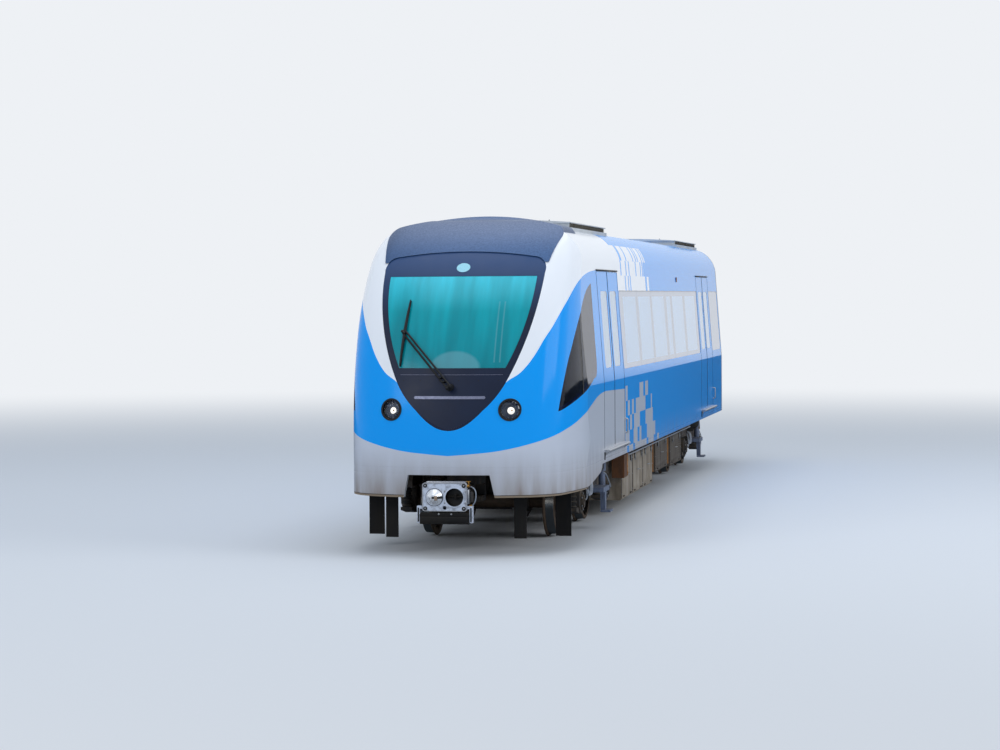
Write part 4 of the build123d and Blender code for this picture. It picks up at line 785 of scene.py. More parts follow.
def copyPiece(piece, move):
    # copy of a finished piece at another place, with its own mesh
    twin = piece.copy()
    twin.data = piece.data.copy()
    twin.data.transform(move)
    if move.determinant() < 0:
        twin.data.flip_normals()
    scene.collection.objects.link(twin)
    return twin


def copyNode(node, name):
    # own copy of a CAD node's mesh, its loose triangles merged
    twin = nodes[node].copy()
    twin.data = nodes[node].data.copy()
    twin.name = name
    twin.data.name = name
    twin.parent = None
    twin.matrix_world = Matrix()
    scene.collection.objects.link(twin)
    pickOnly(twin)
    bpy.ops.object.mode_set(mode="EDIT")
    bpy.ops.mesh.select_all(action="SELECT")
    bpy.ops.mesh.remove_doubles(threshold=weldReach)
    bpy.ops.mesh.select_all(action="DESELECT")
    bpy.ops.object.mode_set(mode="OBJECT")
    return twin


def addBolt(name, place, way, radius, height):
    # hexagon head on its washer, standing on a face that looks along way
    place, way = Vector(place), Vector(way).normalized()
    head = addRod(name, place, place + way * height, radius, 6, height * 0.12)
    washer = addRod(name + "Washer", place - way * height * 0.1, place + way * height * 0.2, radius * 1.35, 16)
    return joinPieces([head, washer], name)


def joinPieces(pieces, name):
    bpy.ops.object.select_all(action="DESELECT")
    for piece in pieces:
        piece.select_set(True)
    bpy.context.view_layer.objects.active = pieces[0]
    bpy.ops.object.join()
    pieces[0].name = name
    pieces[0].data.name = name
    return pieces[0]


def closePiece(piece, finish, body):
    pickOnly(piece)
    bpy.ops.object.shade_smooth_by_angle(angle=smoothAngle)
    piece.data.materials.clear()
    piece.data.materials.append(bpy.data.materials[finish])
    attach(piece, body)


def closeSet(pieces, name, finish, body):
    closePiece(joinPieces(pieces, name), finish, body)


def closeBoth(pieces, name, finish, body):
    # the set on the left and its mirror image on the right, as one piece
    left = joinPieces(pieces, name)
    closeSet([left, copyPiece(left, otherSide)], name, finish, body)


# headlamps: thin lens over a dark bowl with one small lit lamp, ribbed rubber ring round it
headlamp = {
    "lensThickness": 0.058,     # taken off the back of the solid lens
    "bowlRadius": 0.099,
    "bowlThickness": 0.004,
    "bowlRim": 0.012,
    "bowlSunk": 0.020,          # behind the lens face
    "bowlSteps": [(0.010, 0.90), (0.014, 0.82), (0.012, 0.62)],   # depth and narrowing of each step
    "lampRadius": 0.034,
    "lampSunk": 0.024,
    "lampShift": (0.014, 0.0, -0.008),
    "lampBack": (-0.004, 1.25),     # below this height the small reflector is wider
    "burner": (0.008, 0.019, 0.010, 0.003),     # off the middle, length, radius, edge
    "ribs": 40,
    "ribRing": 0.1145,
    "ribProud": 0.012,
    "ribSize": (0.019, 0.0085, 0.009),
    "ribEdge": 0.001,
}


def lampFrame(side):
    # centre and outward direction of the lens face on one side of the car
    mesh = nodes["headlamp_lenses"].data
    total, centre, normal = 0.0, Vector(), Vector()
    for face in mesh.polygons:
        if face.normal.y < -0.5 and face.center.x * side > 0:
            total += face.area
            centre += face.center * face.area
            normal += face.normal * face.area
    return centre / total, normal.normalized()


def makeHeadlamps(spec):
    lens = copyNode("headlamp_lenses", "headlampGlass")     # no face mode yet: it would change the first bowl
    for face in lens.data.polygons:
        face.select = face.normal.y > 0.5
    bpy.ops.object.mode_set(mode="EDIT")
    bpy.ops.transform.translate(value=(0, -spec["lensThickness"], 0))
    bpy.ops.object.mode_set(mode="OBJECT")
    closePiece(lens, "clear_lamp_polycarbonate", "carbody")
    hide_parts("headlamp_lenses")
    bowls, lamps, ribs, burners = [], [], [], []
    for side in (1, -1):
        centre, normal = lampFrame(side)
        turn = normal.to_track_quat("Z", "Y").to_matrix().to_4x4()
        toBowl = Matrix.Translation(centre - normal * spec["bowlSunk"]) @ turn
        toLamp = Matrix.Translation(centre - normal * spec["lampSunk"] + Vector(spec["lampShift"])) @ turn
        toRing = Matrix.Translation(centre + normal * spec["ribProud"]) @ turn
        # bowl: disc whose front is stepped inwards
        bowl = startPiece(bpy.ops.mesh.primitive_cylinder_add, "headlampBowl", vertices=48,
                          radius=spec["bowlRadius"], depth=spec["bowlThickness"], location=(0, 0, 0))
        openFaces(bowl, lambda face: face.normal.z > 0.9)
        bpy.ops.mesh.inset(thickness=spec["bowlRim"])
        for depth, narrow in spec["bowlSteps"]:
            bpy.ops.mesh.extrude_region_move(TRANSFORM_OT_translate={"value": (0, 0, -depth)})
            bpy.ops.transform.resize(value=(narrow, narrow, 1), center_override=(0, 0, 0))
        bpy.ops.object.mode_set(mode="OBJECT")
        bowl.data.transform(toBowl)
        bowls.append(bowl)
        below, wider = spec["lampBack"]
        lamp = startPiece(bpy.ops.mesh.primitive_uv_sphere_add, "headlampBulb", segments=24, ring_count=12,
                          radius=spec["lampRadius"], location=(0, 0, 0), scale=(1, 1, 0.5))
        openFaces(lamp, lambda face: face.center.z < below)
        bpy.ops.transform.resize(value=(wider, wider, 1), center_override=(0, 0, 0))
        bpy.ops.object.mode_set(mode="OBJECT")
        lamp.data.transform(toLamp)
        lamps.append(lamp)
        # burner that shows dark in the middle of the small reflector
        off, length, radius, edge = spec["burner"]
        burner = addRod("headlampBurner", (off, 0, 0), (off, 0, length), radius, 16, edge)
        burner.data.transform(toLamp)
        burners.append(burner)
        first = startPiece(bpy.ops.mesh.primitive_cube_add, "bezelRib", size=1, location=(spec["ribRing"], 0, 0),
                           scale=spec["ribSize"])
        easeEdges(first, spec["ribEdge"], 1)
        ring = [first]
        for index in range(1, spec["ribs"]):
            ring.append(copyPiece(first, Matrix.Rotation(2 * math.pi * index / spec["ribs"], 4, "Z")))
        for rib in ring:
            rib.data.transform(toRing)
        ribs += ring
    closeSet(bowls, "headlampBowls", "headlamp_bowl_paint", "carbody")
    closeSet(burners, "headlampBurners", "brass_fitting", "carbody")
    closeSet(lamps, "headlampBulbs", "lit_lamp_lens", "carbody")
    closeSet(ribs, "headlampRibs", "black_rubber_seal", "carbody")


makeHeadlamps(headlamp)
print("headlamps made")

# wiper: capped pivots, two thin rods, a joint block and a blade that narrows to its ends
wiper = {
    "pivot": (0.014, 0.012, 1.888),
    "joint": (-0.580, 0.398, 2.500),
    "bladeLow": (-0.590, 0.226, 2.112),
    "bladeHigh": (-0.550, 0.620, 2.845),
    "rodRadius": 0.0115,
    "clamps": (0.10, 0.17),     # share of the way up the rods
    "spineRadius": 0.017,
    "spineTaper": 0.6,
    "clawRadius": 0.009,
    "rubberRadius": 0.008,
    "spineOff": 0.030,          # from the glass
    "rubberOff": 0.009,
    "steps": 8,
}


def makeWiper(spec):
    pivot, joint, low, high = (at(*spec[name]) for name in ("pivot", "joint", "bladeLow", "bladeHigh"))
    along = (joint - pivot).normalized().to_track_quat("Z", "Y").to_matrix().to_4x4()
    parts = []
    for side in (-1, 1):
        start = pivot + Vector((0.018 * side, -0.012, 0.012 * side))
        end = joint + Vector((0.014 * side, 0, 0.014 * side))
        parts.append(addRod("wiperRod", start, end, spec["rodRadius"], 12))
        parts.append(addRod("wiperCap", start + Vector((0, -0.016, 0)), start + Vector((0, 0.09, 0)),
                            0.019, 20, 0.003))
    parts.append(addRod("wiperBoss", pivot + Vector((0, 0.004, 0)), pivot + Vector((0, 0.110, 0)),
                        0.040, 28, 0.006))
    for share in spec["clamps"]:
        clamp = addSlab("wiperClamp", (-0.034, -0.012, -0.008), (0.034, 0.012, 0.008), 0.003)
        clamp.data.transform(Matrix.Translation(pivot + (joint - pivot) * share) @ along)
        parts.append(clamp)
    block = addSlab("wiperJoint", (-0.030, -0.014, -0.030), (0.030, 0.014, 0.030), 0.006)
    block.data.transform(Matrix.Translation(joint) @ along)
    parts.append(block)
    # blade: spine and rubber follow the glass at an even distance
    spine, rubber, taper = [], [], []
    for step in range(spec["steps"] + 1):
        share = step / spec["steps"]
        straight = low + (high - low) * share
        spot, normal = onNode("windscreen", (straight.x, noseTip - 2, straight.z), (0, 1, 0))
        spine.append(spot + normal * spec["spineOff"])
        rubber.append(spot + normal * spec["rubberOff"])
        taper.append(1.0 - spec["spineTaper"] * abs(2 * share - 1) ** 2)
        if step % 2 and step < spec["steps"]:
            parts.append(addRod("wiperClaw", spine[-1], rubber[-1], spec["clawRadius"], 8))
    parts.append(addPipe("wiperSpine", spine, spec["spineRadius"], taper))
    metal = joinPieces(parts, "wiperArm")
    closePiece(metal, "black_trim_plastic", "carbody")
    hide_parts("wiper")
    blade = addPipe("wiperRubber", rubber, spec["rubberRadius"])
    closePiece(blade, "black_rubber_seal", "carbody")


makeWiper(wiper)
print("wiper made")

# coupler face: bolts, bright rims round plate and cup, dark lid, a link in the cup kept black as painted shade,
# dark discs as painted shade in the bolt recesses, valve, thin air pipe, lever
couplerFace = {
    "front": -0.220,
    "boltSpots": ((-0.217, 0.560), (0.217, 0.560), (-0.217, 0.812), (0.217, 0.812)),
    "midBolts": ((0.002, 0.748), (0.002, 0.622), (0.234, 0.748), (0.234, 0.622)),
    "knobX": (-0.058, 0.084),
    "recessShadeRadius": 0.023,
    "plateX": (-0.251, 0.251),
    "plateZ": (0.528, 0.844),
    "plateCorner": 0.030,
    "rimWidth": 0.009,
    "rimProud": 0.004,
    "ringRadius": 0.106,
    "linkDepth": -0.150,
    "pipe": [(0.262, -0.150, 0.800), (0.300, -0.170, 0.800), (0.345, -0.190, 0.765), (0.352, -0.190, 0.690),
             (0.330, -0.180, 0.610), (0.296, -0.165, 0.590)],
    "pipeRadius": 0.0065,
}


def makeCouplerDetail(spec):
    front, z, cup = spec["front"], car["couplerHeight"], car["coneOff"]
    bolts = []
    for x, height in spec["boltSpots"] + spec["midBolts"]:
        bolts.append(addBolt("couplerBolt", at(x, front + 0.010, height), (0, -1, 0), 0.011, 0.014))
    for x in spec["knobX"]:
        bolts.append(addBolt("headKnob", at(x, -0.249, 0.500), (0, -1, 0), 0.011, 0.012))
    closeSet(bolts, "couplerBolts", "zinc_plated_steel", "coupler")

    # bright rim round the plate: flat ring, drawn out of a plane with rounded corners
    (left, right), (low, high) = spec["plateX"], spec["plateZ"]
    middle = at(0, front, (low + high) / 2)
    rim = startPiece(bpy.ops.mesh.primitive_plane_add, "couplerRim", size=1, rotation=(math.pi / 2, 0, 0),
                     location=middle)
    bpy.ops.object.mode_set(mode="EDIT")
    bpy.ops.mesh.select_all(action="SELECT")
    bpy.ops.transform.resize(value=(right - left, 1, high - low), center_override=middle)
    bpy.ops.mesh.bevel(offset=spec["plateCorner"], segments=6, affect="VERTICES")
    bpy.ops.mesh.select_all(action="SELECT")
    bpy.ops.mesh.inset(thickness=spec["rimWidth"])
    bpy.ops.mesh.delete(type="FACE")
    bpy.ops.mesh.select_all(action="SELECT")
    bpy.ops.mesh.extrude_region_move(TRANSFORM_OT_translate={"value": (0, -spec["rimProud"], 0)})
    bpy.ops.mesh.select_all(action="SELECT")
    bpy.ops.mesh.normals_make_consistent(inside=False)
    bpy.ops.object.mode_set(mode="OBJECT")
    ring = startPiece(bpy.ops.mesh.primitive_torus_add, "cupRing", major_radius=spec["ringRadius"],
                      minor_radius=0.006, major_segments=48, minor_segments=8, rotation=(math.pi / 2, 0, 0),
                      location=at(cup, front, z))
    closeSet([rim, ring], "couplerRims", "brushed_aluminium", "coupler")
    dark, depth = [], spec["linkDepth"]
    # dark discs at the corner bolts, painted shade of the bolt recesses
    for x, height in spec["boltSpots"]:
        dark.append(addRod("boltRecessShade", at(x, front + 0.008, height), at(x, front - 0.0015, height),
                           spec["recessShadeRadius"], 24))
    dark.append(addSlab("headLid", at(-0.262, -0.2555, 0.408), at(0.262, -0.240, 0.470), 0.004))
    # link and eye in the cup kept black as painted shade of the cup
    dark.append(addRod("cupLink", at(0.020, depth, z), at(0.206, depth, z), 0.012, 16, 0.002))
    dark.append(addRod("cupEye", at(cup, depth, z - 0.03), at(cup, depth, z + 0.03), 0.022, 20, 0.003))
    closeSet(dark, "couplerDarkPartsAndShade", "black_guard_enamel_and_shade", "coupler")
    cover = addSlab("couplerCover", at(-0.205, -0.216, 0.8425), at(0.235, -0.110, 0.856), 0.004)
    closePiece(cover, "brushed_aluminium", "coupler")

    valve = addRod("airValve", at(0.262, -0.215, 0.806), at(0.262, -0.120, 0.806), 0.018, 6, 0.003)
    stem = addRod("airValveStem", at(0.262, -0.165, 0.80), at(0.262, -0.165, 0.860), 0.009, 12, 0.002)
    wing = addSlab("airValveWing", at(0.236, -0.172, 0.852), at(0.288, -0.158, 0.860), 0.003)
    foot = addRod("pipeFoot", at(0.268, -0.165, 0.59), at(0.305, -0.165, 0.59), 0.014, 6, 0.002)
    closeSet([valve, stem, wing, foot], "airValve", "brass_fitting", "coupler")
    pipe = addPipe("couplerAirPipe", route(*spec["pipe"]), spec["pipeRadius"])
    closePiece(pipe, "grey_pipe_enamel", "coupler")

    # uncoupling lever and its cylinder on the free side of the head
    lever = addSlab("couplerLever", at(0.256, -0.208, 0.610), at(0.276, -0.150, 0.770), 0.005)
    ram = addRod("couplerRam", at(0.302, -0.178, 0.630), at(0.302, -0.178, 0.745), 0.017, 20, 0.003)
    closePiece(lever, "brushed_aluminium", "coupler")
    closePiece(ram, "sand_cast_iron", "coupler")


makeCouplerDetail(couplerFace)
print("coupler detail made")

# doors: rubber at the meeting edges and round the opening, drip rail above, handle beside
doorTrim = {
    "sealHalf": 0.011,
    "edgeHalf": 0.005,
    "edgeOff": 0.002,
    "proud": 0.0025,
    "footGap": 0.010,
    "headGap": 0.006,
    "railHeight": 0.022,
    "railProud": 0.024,
    "railOver": 0.01,
    "railLean": 0.012,
    "handle": (1.150, 1.330),
    "handleBehind": 0.040,
    "handleProud": 0.034,
    "handleBend": 0.03,
    "handleRadius": 0.009,
}


def addUprightStrip(name, station, half, low, high, proud):
    # strip up the side: upright to the waist, then leaning with the wall
    side, waist = car["halfWidth"], car["waist"]
    strip = addSlab(name, at(side - 0.006, station - half, low), at(side + proud, station + half, waist))
    openFaces(strip, lambda face: face.normal.z > 0.9)
    rise = high - waist
    bpy.ops.mesh.extrude_region_move(TRANSFORM_OT_translate={"value": (-rise * car["lean"], 0, rise)})
    bpy.ops.object.mode_set(mode="OBJECT")
    return strip


def makeDoorTrim(spec):
    seals, rails, handles = [], [], []
    top = car["doorTop"]
    low, high = car["floorTop"] + spec["footGap"], top - spec["headGap"]
    for front in car["doorFronts"]:
        rear = front + car["doorWidth"]
        seals.append(addUprightStrip("doorSeal", (front + rear) / 2, spec["sealHalf"], low, high, spec["proud"]))
        for station in (front + spec["edgeOff"], rear - spec["edgeOff"]):
            seals.append(addUprightStrip("doorSeal", station, spec["edgeHalf"], low, high, spec["proud"] * 0.6))
        rail = addSlab("dripRail", at(skin(top) - 0.004, front - spec["railOver"], top + 0.004),
                       at(skin(top) + spec["railProud"], rear + spec["railOver"], top + spec["railHeight"]))
        openFaces(rail, lambda face: face.normal.z > 0.9)
        bpy.ops.transform.translate(value=(-spec["railLean"], 0, 0))
        bpy.ops.mesh.select_all(action="SELECT")
        bpy.ops.mesh.bevel(offset=0.003, segments=2, affect="EDGES")
        bpy.ops.object.mode_set(mode="OBJECT")
        rails.append(rail)
        station = rear + spec["handleBehind"]
        foot, head = spec["handle"]
        root, out = car["halfWidth"] - 0.002, car["halfWidth"] + spec["handleProud"]
        bend = spec["handleBend"]
        grip = route((root, station, foot), (out, station, foot), (out, station, foot + bend),
                     (out, station, head - bend), (out, station, head), (root, station, head))
        handles.append(addPipe("doorHandle", grip, spec["handleRadius"]))
    closeBoth(seals, "doorSeals", "black_rubber_seal", "carbody")
    closeBoth(rails, "dripRails", "black_trim_plastic", "carbody")
    closeBoth(handles, "doorHandles", "brushed_aluminium", "carbody")


makeDoorTrim(doorTrim)
print("door trim made")

# nose trim: screws and bright joint under the glass, step brackets, bolts on the guard bars
noseTrim = {
    "screwHeight": 1.960,
    "screwX": (-0.54, -0.34, -0.12, 0.10, 0.32, 0.54),
    "jointHeight": 2.024,
    "jointHalf": 0.585,
    "jointRadius": 0.0024,
    "guardX": 0.737,
    "guardFace": 0.401,
    "guardSpread": 0.035,
    "guardBolts": (0.700, 0.780, 0.845),
}


def makeNoseTrim(spec):
    screws = []
    for x in spec["screwX"]:
        spot, normal = onNode("front_hatch", (x, noseTip - 2, spec["screwHeight"]), (0, 1, 0))
        screws.append(addBolt("hatchScrew", spot - normal * 0.001, normal, 0.0065, 0.003))
    closeSet(screws, "hatchScrews", "black_trim_plastic", "carbody")
    line = []
    for step in range(13):
        x = spec["jointHalf"] * (step / 6 - 1)
        spot, normal = onNode("front_hatch", (x, noseTip - 2, spec["jointHeight"]), (0, 1, 0))
        line.append(spot + normal * 0.0005)
    bead = addPipe("hatchJointBead", line, spec["jointRadius"])
    closePiece(bead, "anodised_grey_strip", "carbody")

    bolts = []
    for height in spec["guardBolts"]:
        for x in (spec["guardX"] - spec["guardSpread"], spec["guardX"] + spec["guardSpread"]):
            bolts.append(addBolt("guardBolt", at(x, spec["guardFace"], height), (0, -1, 0), 0.011, 0.009))
    closeBoth(bolts, "guardBolts", "sand_cast_iron", "carbody")

    brackets = []
    for front in car["doorFronts"]:
        # plate that carries the front end of each step, moved in and up whole
        plate = addSlab("stepBracket", at(1.346, front - 0.026, 0.900), at(1.412, front - 0.010, 1.004))
        for vertex in plate.data.vertices:
            vertex.select = vertex.co.x > 1.40 and vertex.co.z < 0.95
        pickOnly(plate)
        bpy.ops.object.mode_set(mode="EDIT")
        bpy.ops.mesh.select_mode(type="VERT")
        bpy.ops.transform.translate(value=(-0.050, 0, 0.015))
        bpy.ops.mesh.select_all(action="SELECT")
        bpy.ops.mesh.bevel(offset=0.002, segments=2, affect="EDGES")
        bpy.ops.object.mode_set(mode="OBJECT")
        brackets.append(plate)
    closeBoth(brackets, "stepBrackets", "black_trim_plastic", "carbody")


makeNoseTrim(noseTrim)
print("nose trim made")

# equipment cases: doors with pressed fields, latches, grips, hinges, straps with hangers, cable glands with looms
caseTrim = {
    # front, rear, low, high, number of doors
    "cases": [(5.490, 8.710, 0.210, 0.770, 3), (9.090, 10.510, 0.330, 0.790, 1),
              (10.890, 12.310, 0.300, 0.760, 1)],
    "margin": 0.045,
    "doorProud": 0.007,
    "fieldInset": 0.060,
    "fieldSlope": 0.006,
    "fieldDepth": 0.004,
    "latches": (0.16, 0.84),        # share of the door's length
    "strapShift": 0.022,
    "glands": (0.10, 0.17, 0.24),
}


def makeCaseTrim(spec):
    doors, metal, dark = [], [], []
    for front, rear, low, high, count in spec["cases"]:
        pitch = (rear - front) / count
        middle = (low + high) / 2
        face = onNode("equipment_cases", at(3, front + pitch / 2, middle), (-1, 0, 0))[0].x
        for index in range(count):
            start = front + pitch * index + spec["margin"]
            end = front + pitch * (index + 1) - spec["margin"]
            x = face + spec["doorProud"]
            door = addSlab("caseDoor", at(face - 0.004, start, low + 0.05), at(x, end, high - 0.03), 0.004)
            openFaces(door, lambda side: side.normal.x > 0.99 and side.area > 0.05)
            bpy.ops.mesh.inset(thickness=spec["fieldInset"])
            bpy.ops.mesh.inset(thickness=spec["fieldSlope"], depth=-spec["fieldDepth"])
            bpy.ops.object.mode_set(mode="OBJECT")
            doors.append(door)
            for share in spec["latches"]:
                # over-centre latch: keeper, tongue and loop
                y = start + (end - start) * share
                dark.append(addSlab("latchBase", at(x - 0.002, y - 0.022, high - 0.085),
                                    at(x + 0.010, y + 0.022, high - 0.012), 0.003))
                metal.append(addSlab("latchTongue", at(x + 0.006, y - 0.013, high - 0.105),
                                     at(x + 0.018, y + 0.013, high - 0.035), 0.003))
                loop = route((x + 0.010, y - 0.016, high - 0.050), (x + 0.016, y - 0.016, high - 0.012),
                             (x + 0.016, y + 0.016, high - 0.012), (x + 0.010, y + 0.016, high - 0.050))
                metal.append(addPipe("latchLoop", loop, 0.003))
                dark.append(addRod("caseHinge", at(x + 0.004, y - 0.045, low + 0.045),
                                   at(x + 0.004, y + 0.045, low + 0.045), 0.009, 12, 0.002))
            y, z = (start + end) / 2, middle + 0.03
            grip = route((x - 0.002, y - 0.055, z), (x + 0.028, y - 0.055, z),
                         (x + 0.028, y + 0.055, z), (x - 0.002, y + 0.055, z))
            metal.append(addPipe("caseGrip", grip, 0.0055))
        for index in range(count + 1):
            # hanger strap with a flange at its head and bolts
            y = front + pitch * index + spec["strapShift"] * ((index == 0) - (index == count))
            dark.append(addSlab("caseStrap", at(face - 0.02, y - 0.018, low + 0.02),
                                at(face + 0.004, y + 0.018, high + 0.02), 0.002))
            dark.append(addSlab("caseHanger", at(face - 0.055, y - 0.030, high),
                                at(face + 0.002, y + 0.030, car["frameFoot"]), 0.004))
            for height in (high - 0.06, middle, low + 0.08):
                metal.append(addBolt("caseBolt", at(face + 0.003, y, height), (1, 0, 0), 0.008, 0.006))
        # cable glands on the front end with short looms up to the frame
        for shift in spec["glands"]:
            x, z = face - shift, high - 0.12
            dark.append(addRod("cableGland", at(x, front + 0.012, z), at(x, front - 0.022, z), 0.016, 10, 0.003))
            loom = route((x, front - 0.015, z), (x, front - 0.060, z), (x, front - 0.075, high - 0.06),
                         (x - 0.02, front - 0.060, 0.86), (x - 0.02, front - 0.02, 0.90))
            dark.append(addPipe("caseLoom", loom, 0.009))
    closeBoth(doors, "caseDoors", "dusty_case_enamel", "carbody")
    closeBoth(metal, "caseLatches", "zinc_plated_steel", "carbody")
    closeBoth(dark, "caseStraps", "sand_cast_iron", "carbody")


makeCaseTrim(caseTrim)
print("case trim made")

# underframe: pipe run with clips, ochre plate and hangers, valve boxes
underTrim = {
    "pipes": [(1.262, 0.852, 0.017), (1.222, 0.852, 0.011), (1.268, 0.810, 0.008)],    # x, height, radius
    "pipeFrom": 5.52,
    "pipeTo": 12.95,
    "clipPitch": 0.93,
    "bracketBolts": (0.58, 0.66, 0.74, 0.82),
    "frames": (8.80, 8.98, 10.60, 10.79),
    "boxes": ((8.82, 0.52), (10.62, 0.50), (12.42, 0.56)),
}


def makeUnderTrim(spec):
    start, end, foot = spec["pipeFrom"], spec["pipeTo"], car["frameFoot"]
    pipes, clips, ochre, boxes = [], [], [], []
    for x, height, radius in spec["pipes"]:
        points = [(x - 0.10, start - 0.01, height + 0.01), (x, start + 0.05, height)]
        points += [(x, start + share * (end - start), height) for share in (0.03, 0.5, 0.97)]
        points += [(x, end - 0.05, height), (x - 0.12, end, height + 0.01)]
        pipes.append(addPipe("trainPipe", route(*points), radius))
    closeBoth(pipes, "trainPipes", "grey_pipe_enamel", "carbody")

    y = start + 0.25
    while y < end - 0.1:
        clips.append(addSlab("pipeClip", at(1.196, y - 0.014, 0.862), at(1.290, y + 0.014, foot), 0.003))
        clips.append(addSlab("pipeClipStrap", at(1.200, y - 0.010, 0.826), at(1.286, y + 0.010, 0.838), 0.003))
        clips.append(addRod("pipeClipStud", at(1.243, y, 0.822), at(1.243, y, 0.880), 0.006, 8, 0.001))
        y += spec["clipPitch"]
    closeBoth(clips, "pipeClips", "sand_cast_iron", "carbody")

    # ochre edge plate beside the brown bracket box, with a turned flange
    ochre.append(addSlab("bracketEdge", at(1.085, 5.470, 0.540), at(1.262, 5.486, 0.872), 0.002))
    ochre.append(addSlab("bracketFlange", at(1.236, 5.476, 0.540), at(1.262, 5.522, 0.872), 0.003))
    for height in spec["bracketBolts"]:
        ochre.append(addBolt("bracketBolt", at(1.261, 5.501, height), (1, 0, 0), 0.008, 0.006))
    for y in spec["frames"]:
        # open hanger: two legs and a foot, welded to the frame
        for x in (0.86, 1.14):
            ochre.append(addSlab("hangerLeg", at(x - 0.02, y - 0.012, 0.36),
                                 at(x + 0.02, y + 0.012, foot), 0.003))
        ochre.append(addSlab("hangerFoot", at(0.84, y - 0.020, 0.35), at(1.16, y + 0.020, 0.372), 0.004))
    closeBoth(ochre, "ochreBrackets", "ochre_bracket_paint", "carbody")

    for y, low in spec["boxes"]:
        boxes.append(addSlab("valveBox", at(0.94, y, low), at(1.12, y + 0.15, 0.72), 0.010))
        boxes.append(addSlab("valveBoxLid", at(1.118, y + 0.010, low + 0.01), at(1.130, y + 0.140, 0.71), 0.004))
        boxes.append(addRod("valveBoxPort", at(1.03, y + 0.075, low - 0.035), at(1.03, y + 0.075, low + 0.005),
                            0.018, 12, 0.003))
        boxes.append(addSlab("valveBoxHanger", at(1.00, y + 0.06, 0.715), at(1.06, y + 0.09, foot), 0.003))
    closeBoth(boxes, "valveBoxes", "pale_case_paint", "carbody")


makeUnderTrim(underTrim)
print("underframe trim made")

# bogies: cover bolts, sensor cables, brake hoses, air pipe on the beam, lifting lugs
bogieTrim = {
    "axles": (-1.050, 1.050),
    "coverRing": 0.098,
    "coverBolts": 6,
    "cableHeight": 0.443,
    "hoseStarts": (0.30, 0.38, 0.46),
    "beamPipe": (1.02, 0.652),      # x and height
    "lugs": (-0.62, 0.62),
}


def makeBogieTrim(spec, centre, body):
    boxNode = body + "_axle_boxes"
    bolts, hoses, plates = [], [], []
    for shift in spec["axles"]:
        y = centre + shift
        for index in range(spec["coverBolts"]):
            angle = math.radians(360 / spec["coverBolts"] * index + 30)
            along, up = spec["coverRing"] * math.cos(angle), spec["coverRing"] * math.sin(angle)
            spot = onNode(boxNode, at(2, y + along, car["axleHeight"] + up), (-1, 0, 0))[0]
            bolts.append(addBolt("coverBolt", spot - Vector((0.001, 0, 0)), (1, 0, 0), 0.010, 0.008))
        # sensor cable from the cover up to the beam
        way = 1 if shift > 0 else -1
        z = spec["cableHeight"]
        cover = onNode(boxNode, at(2, y, z), (-1, 0, 0))[0].x
        cable = route((cover - 0.004, y, z), (cover + 0.020, y, z),
                      (cover + 0.022, y - way * 0.06, 0.47), (1.118, y - way * 0.17, 0.60),
                      (1.090, y - way * 0.24, 0.655), (1.060, y - way * 0.28, 0.648))
        hoses.append(addPipe("sensorCable", cable, 0.008))
        plates.append(addRod("sensorHead", at(cover - 0.004, y, z), at(cover + 0.014, y, z), 0.020, 12, 0.003))
    for start in spec["hoseStarts"]:
        # brake hoses drooping along the outer face of the beam
        y = centre - start
        hose = route((1.050, y, 0.648), (1.092, y, 0.640), (1.112, y - 0.02, 0.56), (1.112, y - 0.06, 0.47),
                     (1.110, y - 0.14, 0.455), (1.098, y - 0.18, 0.53), (1.070, y - 0.18, 0.56))
        hoses.append(addPipe("brakeHose", hose, 0.010))
    # air pipe along the top of the beam with its union
    x, z = spec["beamPipe"]
    plates.append(addPipe("beamPipe", [at(x, centre - off, z) for off in (0.78, 0.60, 0.32)], 0.010))
    plates.append(addRod("beamUnion", at(x, centre - 0.60, z), at(x, centre - 0.56, z), 0.018, 6, 0.002))
    for shift in spec["lugs"]:
        # lifting lug with a pin, welded on the beam
        y = centre + shift
        plates.append(addSlab("liftingLug", at(1.073, y - 0.05, 0.49), at(1.097, y + 0.05, 0.60), 0.010))
        plates.append(addRod("liftingPin", at(1.090, y, 0.545), at(1.104, y, 0.545), 0.022, 16, 0.003))
    where = body[5:].title().replace("_", "")
    closeBoth(bolts, "axleCoverBolts" + where, "zinc_plated_steel", body)
    closeBoth(hoses, "bogieHoses" + where, "grey_pipe_enamel", body)
    closeBoth(plates, "bogieLugs" + where, "dusty_steel_paint", body)


for centre, body in zip(car["bogies"], ("bogie_front", "bogie_rear")):
    makeBogieTrim(bogieTrim, centre, body)
print("bogie trim made")

# roof: lid screws, lifting eyes, grip treads
roofTrim = {
    "units": ((2.950, 5.850), (13.950, 16.850)),
    "screwX": 0.890,
    "screwPitch": 0.29,
    "eyeX": 0.62,
    "walkX": 0.30,
    "treadHalf": 0.14,
    "treadPitch": 0.25,
    "treadGap": 0.35,       # from the roof units
}


